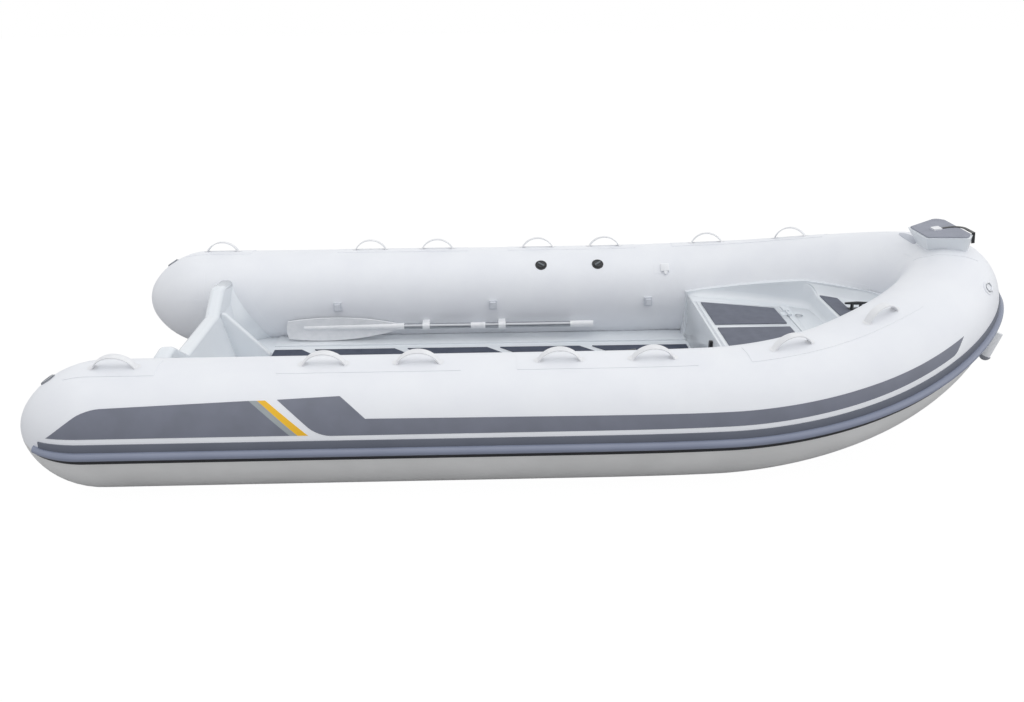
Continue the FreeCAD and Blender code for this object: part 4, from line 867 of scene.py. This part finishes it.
dark_foam = foam("eva_foam_charcoal", "#4A5060", "#434958")
grey_foam = foam("eva_foam_grey", "#717581", "#6A6E7A")
pale_foam = foam("eva_foam_pale_grey", "#9EA1AC", "#979AA5")
for node, material, slot_name, body in (
        ("deck_pads_port", dark_foam, "dark_foam", "boat"),
        ("deck_pads_starboard", dark_foam, "dark_foam", "boat"),
        ("lid_pad_port", grey_foam, "foam", "lid"),
        ("lid_pad_starboard", grey_foam, "foam", "lid"),
        ("bow_pad", grey_foam, "foam", "boat")):
    rounded_copy(node, node + "_foam", material, slot_name, 0.002, body)
(aft_x, aft_y), (side_x, side_y), (fore_x, fore_y) = NOSE_TOP
pad_plan = rounded_plan(((aft_x + PAD_MARGIN, aft_y - PAD_MARGIN),
                         (side_x - 0.001, side_y - 1.2 * PAD_MARGIN),
                         (fore_x - PAD_MARGIN, fore_y - PAD_MARGIN)))
pad_rings = [[nose_place(point, lift) for point in pad_plan] for lift in (-0.001, PAD_THICK)]
piece(skinned(pad_rings, 0.002), "nose_pad_foam", (pale_foam,), "foam", replaces=("nose_pad",))

# ---------- plastic and metal fittings
# Small bought-in fittings: moulded nylon clips, plates and latches, steel rings and eyes, and the
# oars, which are anodised tube with moulded blades and grips. They are screwed or clipped on.
def plastic(name, colour, shade, roughness):
    """Injection-moulded nylon: an even colour, with the fine grain of a spark-eroded mould."""
    material, tree, shader = finish_of(name, roughness, 1.53)
    where = add(tree, "ShaderNodeTexCoord")
    mottle(tree, shader, (where, "Object"), colour, shade, 0.03)
    grain = add(tree, "ShaderNodeTexNoise", {"Vector": (where, "Object"), "Scale": 1 / 0.002})
    emboss(tree, shader, (grain, "Fac"), 0.0001)
    return material


def metal(name, colour, roughness, drawn):
    """Drawn or polished metal, with fine lines along the way that it was worked."""
    material, tree, shader = finish_of(name, roughness, metallic=1.0)
    where = add(tree, "ShaderNodeTexCoord")
    lines = add(tree, "ShaderNodeMapping", {"Vector": (where, "Object"), "Scale": drawn})
    streak = add(tree, "ShaderNodeTexNoise", {"Vector": (lines, "Vector"), "Scale": 1.0})
    emboss(tree, shader, (streak, "Fac"), 0.0001)
    shader.inputs["Base Color"].default_value = linear(colour)
    return material


black_nylon = plastic("nylon_black", "#17191D", "#1F2126", 0.4)
white_nylon = plastic("nylon_white", "#F1F2F5", "#EAECEF", 0.4)
grey_nylon = plastic("nylon_grey", "#9A9DA5", "#92959D", 0.45)
white_rubber = plastic("rubber_white", "#DADDE3", "#D2D5DC", 0.55)
steel = metal("stainless_steel_polished", "#C9CCD0", 0.22, (300.0, 300.0, 40.0))
# The aluminium's colour is darker than the bare metal's: painted dark reflection along the oar shafts.
aluminium_painted_reflection = metal("anodised_aluminium_painted_dark_reflection", "#A9ACB1", 0.30, (20.0, 900.0, 900.0))
for material, nodes in (
        (gelcoat, ("lid_hinge_blocks", "lid_hinge_leaves")),
        (black_nylon, ("step_latch", "nose_strap")),
        (white_nylon, ("nose_buckle", "oar_grips", "oar_blades", "oar_clips", "drain_plug", "stem_post")),
        (white_rubber, ("seat_lugs",)),
        (steel, ("platform_ring",)),
        (aluminium_painted_reflection, ("oar_shafts",))):
    for node in nodes:
        finished(node, material)
rounded_copy("motor_plate_outer", "motor_plate_skin", grey_nylon, "grey_plastic", 0.0015, shape=leaned)
rounded_copy("stern_eyes", "stern_eyes_steel", steel, "steel", 0.0, shape=leaned)

# ---------- bow cleat
# A black nylon horn cleat, screwed down in the middle of the bow deck, a little aft of its solid.
CLEAT_SHIFT = (-0.030, 0, 0.002)


def set_back(bm):
    bmesh.ops.translate(bm, vec=CLEAT_SHIFT, verts=bm.verts[:])


rounded_copy("bow_cleat", "bow_cleat_nylon", black_nylon, "black_plastic", 0.0, shape=set_back)

# ---------- oar sleeves
# The oar comes apart in the middle: a nylon sleeve with a collar at each end joins its two shafts.
OAR_SIDE, OAR_HEIGHT, SLEEVE_PLACE = 0.505, 0.193, -0.345
SLEEVE_HALF = ((0.041, 0.0153), (0.041, 0.0185), (0.036, 0.0195), (0.028, 0.0195), (0.025, 0.0180))


def spun(bm, outline, axis, steps):
    """Spins an outline of corners once round an axis through the origin."""
    line = [bm.verts.new(corner) for corner in outline]
    chain = [bm.edges.new(pair) for pair in zip(line, line[1:])]
    bmesh.ops.spin(bm, geom=line + chain, cent=(0, 0, 0), axis=axis, angle=2 * math.pi, steps=steps,
                   use_merge=True)


work = bmesh.new()
sleeve = [(-along, out) for along, out in SLEEVE_HALF] + list(reversed(SLEEVE_HALF))
spun(work, [(SLEEVE_PLACE + along, 0, out) for along, out in sleeve], (1, 0, 0), 32)
bmesh.ops.translate(work, vec=(0, OAR_SIDE, OAR_HEIGHT), verts=work.verts[:])
mirrored(work)
bmesh.ops.recalc_face_normals(work, faces=work.faces[:])
piece(work, "oar_sleeves", (white_nylon,), "white_plastic", crease=35)

# ---------- painted shade on the stem post
# Painted shade: a grey nylon cap, domed below and cut flat above, over the stem post's lower end.
POST_FOOT, POST_WAY = Vector((2.298, 0, 0.178)), Vector((0.33, 0, 0.94)).normalized()
SHADE_CAP_RADIUS, SHADE_CAP_TOP = 0.0300, -0.004
work = bmesh.new()
bmesh.ops.create_uvsphere(work, u_segments=32, v_segments=20, radius=SHADE_CAP_RADIUS)
cut = bmesh.ops.bisect_plane(work, geom=whole(work), plane_co=SHADE_CAP_TOP * POST_WAY, plane_no=POST_WAY,
                             clear_outer=True)
bmesh.ops.holes_fill(work, edges=only(cut["geom_cut"], BMEdge), sides=0)
bmesh.ops.translate(work, vec=POST_FOOT, verts=work.verts[:])
piece(work, "stem_post_painted_shade_cap", (grey_nylon,), "grey_plastic")

# ---------- valves
# Each air valve is a black flange welded into the cloth, with a cap that a grip bar turns. The relief
# valve is a white box on a patch, with a small round outlet under it.
VALVE_OUTLINE = ((0.033, -0.002), (0.033, 0.0015), (0.0312, 0.003), (0.0275, 0.003), (0.026, 0.0012),
                 (0.0235, 0.0012), (0.0225, 0.005), (0.0205, 0.006), (0.0, 0.006))
VALVE_GIRTH, VALVE_TURNS = girth_at(126), ((0.017, 35), (0.340, -35))       # place, the bar's turn
BAR_SIZE, BAR_LIFT = (0.038, 0.010, 0.007), 0.0085
BOX_PLACE, BOX_GIRTH, BOX_SIZE, BOX_LIFT = 0.738, girth_at(135), (0.060, 0.052, 0.018), 0.004
OUTLET_OUTLINE = ((0.012, -0.002), (0.012, 0.010), (0.010, 0.0125), (0.0, 0.0125))
OUTLET_SHIFT = (0.004, 0.032)
cap_nylon = plastic("nylon_dark_grey", "#6A7075", "#62686D", 0.4)


def turned_form(bm, place, outline):
    """A round form that stands on the cloth at a (length, girth) place, closed at its middle."""
    form = bmesh.new()
    spun(form, [(out, 0, lift) for out, lift in outline], (0, 0, 1), 40)
    bmesh.ops.remove_doubles(form, verts=form.verts[:], dist=0.00005)
    bmesh.ops.translate(form, vec=(*place, 0), verts=form.verts[:])
    joined(bm, form)


def block(bm, place, size, turn, edge, segments=3, index=0):
    """A rounded bar or box that stands on the cloth at a (length, girth, height) place."""
    form = bmesh.new()
    bmesh.ops.create_cube(form, size=1.0)
    bmesh.ops.scale(form, vec=size, verts=form.verts[:])
    bmesh.ops.bevel(form, geom=form.edges[:], offset=edge, segments=segments, profile=0.5,
                    affect="EDGES", material=-1)
    for face in form.faces:
        face.material_index = index
    bmesh.ops.rotate(form, matrix=Matrix.Rotation(turn, 3, "Z"), verts=form.verts[:])
    bmesh.ops.translate(form, vec=place, verts=form.verts[:])
    joined(bm, form)


work = bmesh.new()
for place, turn in VALVE_TURNS:
    turned_form(work, (place, VALVE_GIRTH), VALVE_OUTLINE)
    block(work, (place, VALVE_GIRTH, BAR_LIFT), BAR_SIZE, math.radians(turn), 0.002, index=1)
laid(work, "air_valve_caps", (black_nylon, cap_nylon), "black_plastic", spine=VALVE_GIRTH,
     replaces=("air_valves",), crease=35)
work = bmesh.new()
block(work, (BOX_PLACE, BOX_GIRTH, BOX_LIFT), BOX_SIZE, 0.0, 0.006)
turned_form(work, (BOX_PLACE + OUTLET_SHIFT[0], BOX_GIRTH + OUTLET_SHIFT[1]), OUTLET_OUTLINE)
laid(work, "relief_valve_boxes", (white_nylon,), "white_plastic", spine=BOX_GIRTH,
     replaces=("relief_valves",), crease=35)

# ---------- D-rings
# Polished steel D-rings, each lying on a round patch under a short bridge: the bow's patches are
# white cloth, and the stern cones' are grey nylon, their grey painted shade where the ring sits in shadow.
RING_RADIUS, RING_WIRE, RING_LIFT = 0.0215, 0.0026, 0.006
BRIDGE_SIZE, BRIDGE_LIFT = (0.016, 0.026, 0.009), 0.0042
RINGS = (
    # name, patch's finish, (length, girth) place, patch's radius, the bridge's turn
    ("bow", white_cloth, (2.082, girth_at(39)), 0.036, 2.0),
    # The cone's grey patch is painted shade round its shadowed ring.
    ("cone", grey_nylon, (-2.105, girth_at(86)), 0.030, 0.0),
)
for name, patch_finish, place, radius, turn in RINGS:
    patch_work, ring_work = bmesh.new(), bmesh.new()
    oval_patch(patch_work, place, (radius, radius))
    bridge = Matrix.Rotation(turn, 3, "Z") @ Vector((-RING_RADIUS, 0, BRIDGE_LIFT)) + Vector((*place, 0))
    block(patch_work, bridge, BRIDGE_SIZE, turn, 0.0025, segments=2)
    wire = bmesh.ops.create_circle(ring_work, segments=10, radius=RING_WIRE)["verts"]
    bmesh.ops.rotate(ring_work, matrix=Matrix.Rotation(math.pi / 2, 3, "X"), verts=wire)
    bmesh.ops.translate(ring_work, vec=(place[0] + RING_RADIUS, place[1], RING_LIFT), verts=wire)
    bmesh.ops.spin(ring_work, geom=whole(ring_work), cent=(*place, 0), axis=(0, 0, 1),
                   angle=2 * math.pi, steps=36, use_merge=True)
    laid(patch_work, name + "_ring_patches", (patch_finish,), "tube", crease=35)
    laid(ring_work, name + "_ring_wires", (steel,), "steel", replaces=(name + "_rings",))

# ---------- floor and light
# The boat floats on a plain floor at its waterline, which looks white to the eye and keeps the
# boat's shadow, under a pale sky and two broad soft lamps: one overhead and one from the bow.
FLOOR_SHADE, FLOOR_GLOW, FLOOR_SHARE, FLOOR_SIZE = (0.50, 0.50, 0.51, 1), 1.06, 0.93, 30
SKY_SHADE, SKY_STRENGTH = (0.975, 0.985, 1.0, 1), 0.76
LAMP_POWER, LAMP_SPREAD = 0.50, math.radians(60)
white = (1, 1, 1, 1)
floor_material = bpy.data.materials.new("white_floor")
floor_material.use_nodes = True
floor_tree = floor_material.node_tree
floor_tree.nodes.clear()
paint = add(floor_tree, "ShaderNodeBsdfDiffuse", {"Color": FLOOR_SHADE})
glow = add(floor_tree, "ShaderNodeEmission", {"Color": white, "Strength": FLOOR_GLOW})
ray = add(floor_tree, "ShaderNodeLightPath")
share = add(floor_tree, "ShaderNodeMath", {0: (ray, "Is Camera Ray"), 1: FLOOR_SHARE}, operation="MULTIPLY")
blend = add(floor_tree, "ShaderNodeMixShader", {0: (share, "Value"), 1: (paint, "BSDF"),
                                                2: (glow, "Emission")})
add(floor_tree, "ShaderNodeOutputMaterial", {"Surface": (blend, "Shader")})
work = bmesh.new()
bmesh.ops.create_grid(work, x_segments=2, y_segments=2, size=FLOOR_SIZE)
floor_mesh = bpy.data.meshes.new("floor")
work.to_mesh(floor_mesh)
work.free()
floor_mesh.materials.append(floor_material)
floor = bpy.data.objects.new("floor", floor_mesh)
bpy.context.scene.collection.objects.link(floor)
floor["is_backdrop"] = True

world = bpy.data.worlds.new("studio")
bpy.context.scene.world = world
world.use_nodes = True
world_tree = world.node_tree
world_tree.nodes.clear()
sky_ray = add(world_tree, "ShaderNodeLightPath")
seen = add(world_tree, "ShaderNodeMath", {0: (sky_ray, "Is Camera Ray"), 1: (sky_ray, "Is Glossy Ray")},
           operation="MAXIMUM")
dim_sky = add(world_tree, "ShaderNodeBackground", {"Color": SKY_SHADE, "Strength": SKY_STRENGTH})
white_sky = add(world_tree, "ShaderNodeBackground", {"Color": white, "Strength": 1.0})
sky = add(world_tree, "ShaderNodeMixShader", {0: (seen, "Value"), 1: (dim_sky, "Background"),
                                              2: (white_sky, "Background")})
add(world_tree, "ShaderNodeOutputWorld", {"Surface": (sky, "Shader")})
for name, tilt, lean in (("overhead", 10, 0), ("from_the_bow", 12, 62)):
    light = bpy.data.lights.new(name, "SUN")
    light.energy = LAMP_POWER
    light.angle = LAMP_SPREAD
    lamp = bpy.data.objects.new(name, light)
    lamp.rotation_euler = (math.radians(tilt), math.radians(lean), 0)
    bpy.context.scene.collection.objects.link(lamp)

low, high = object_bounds()
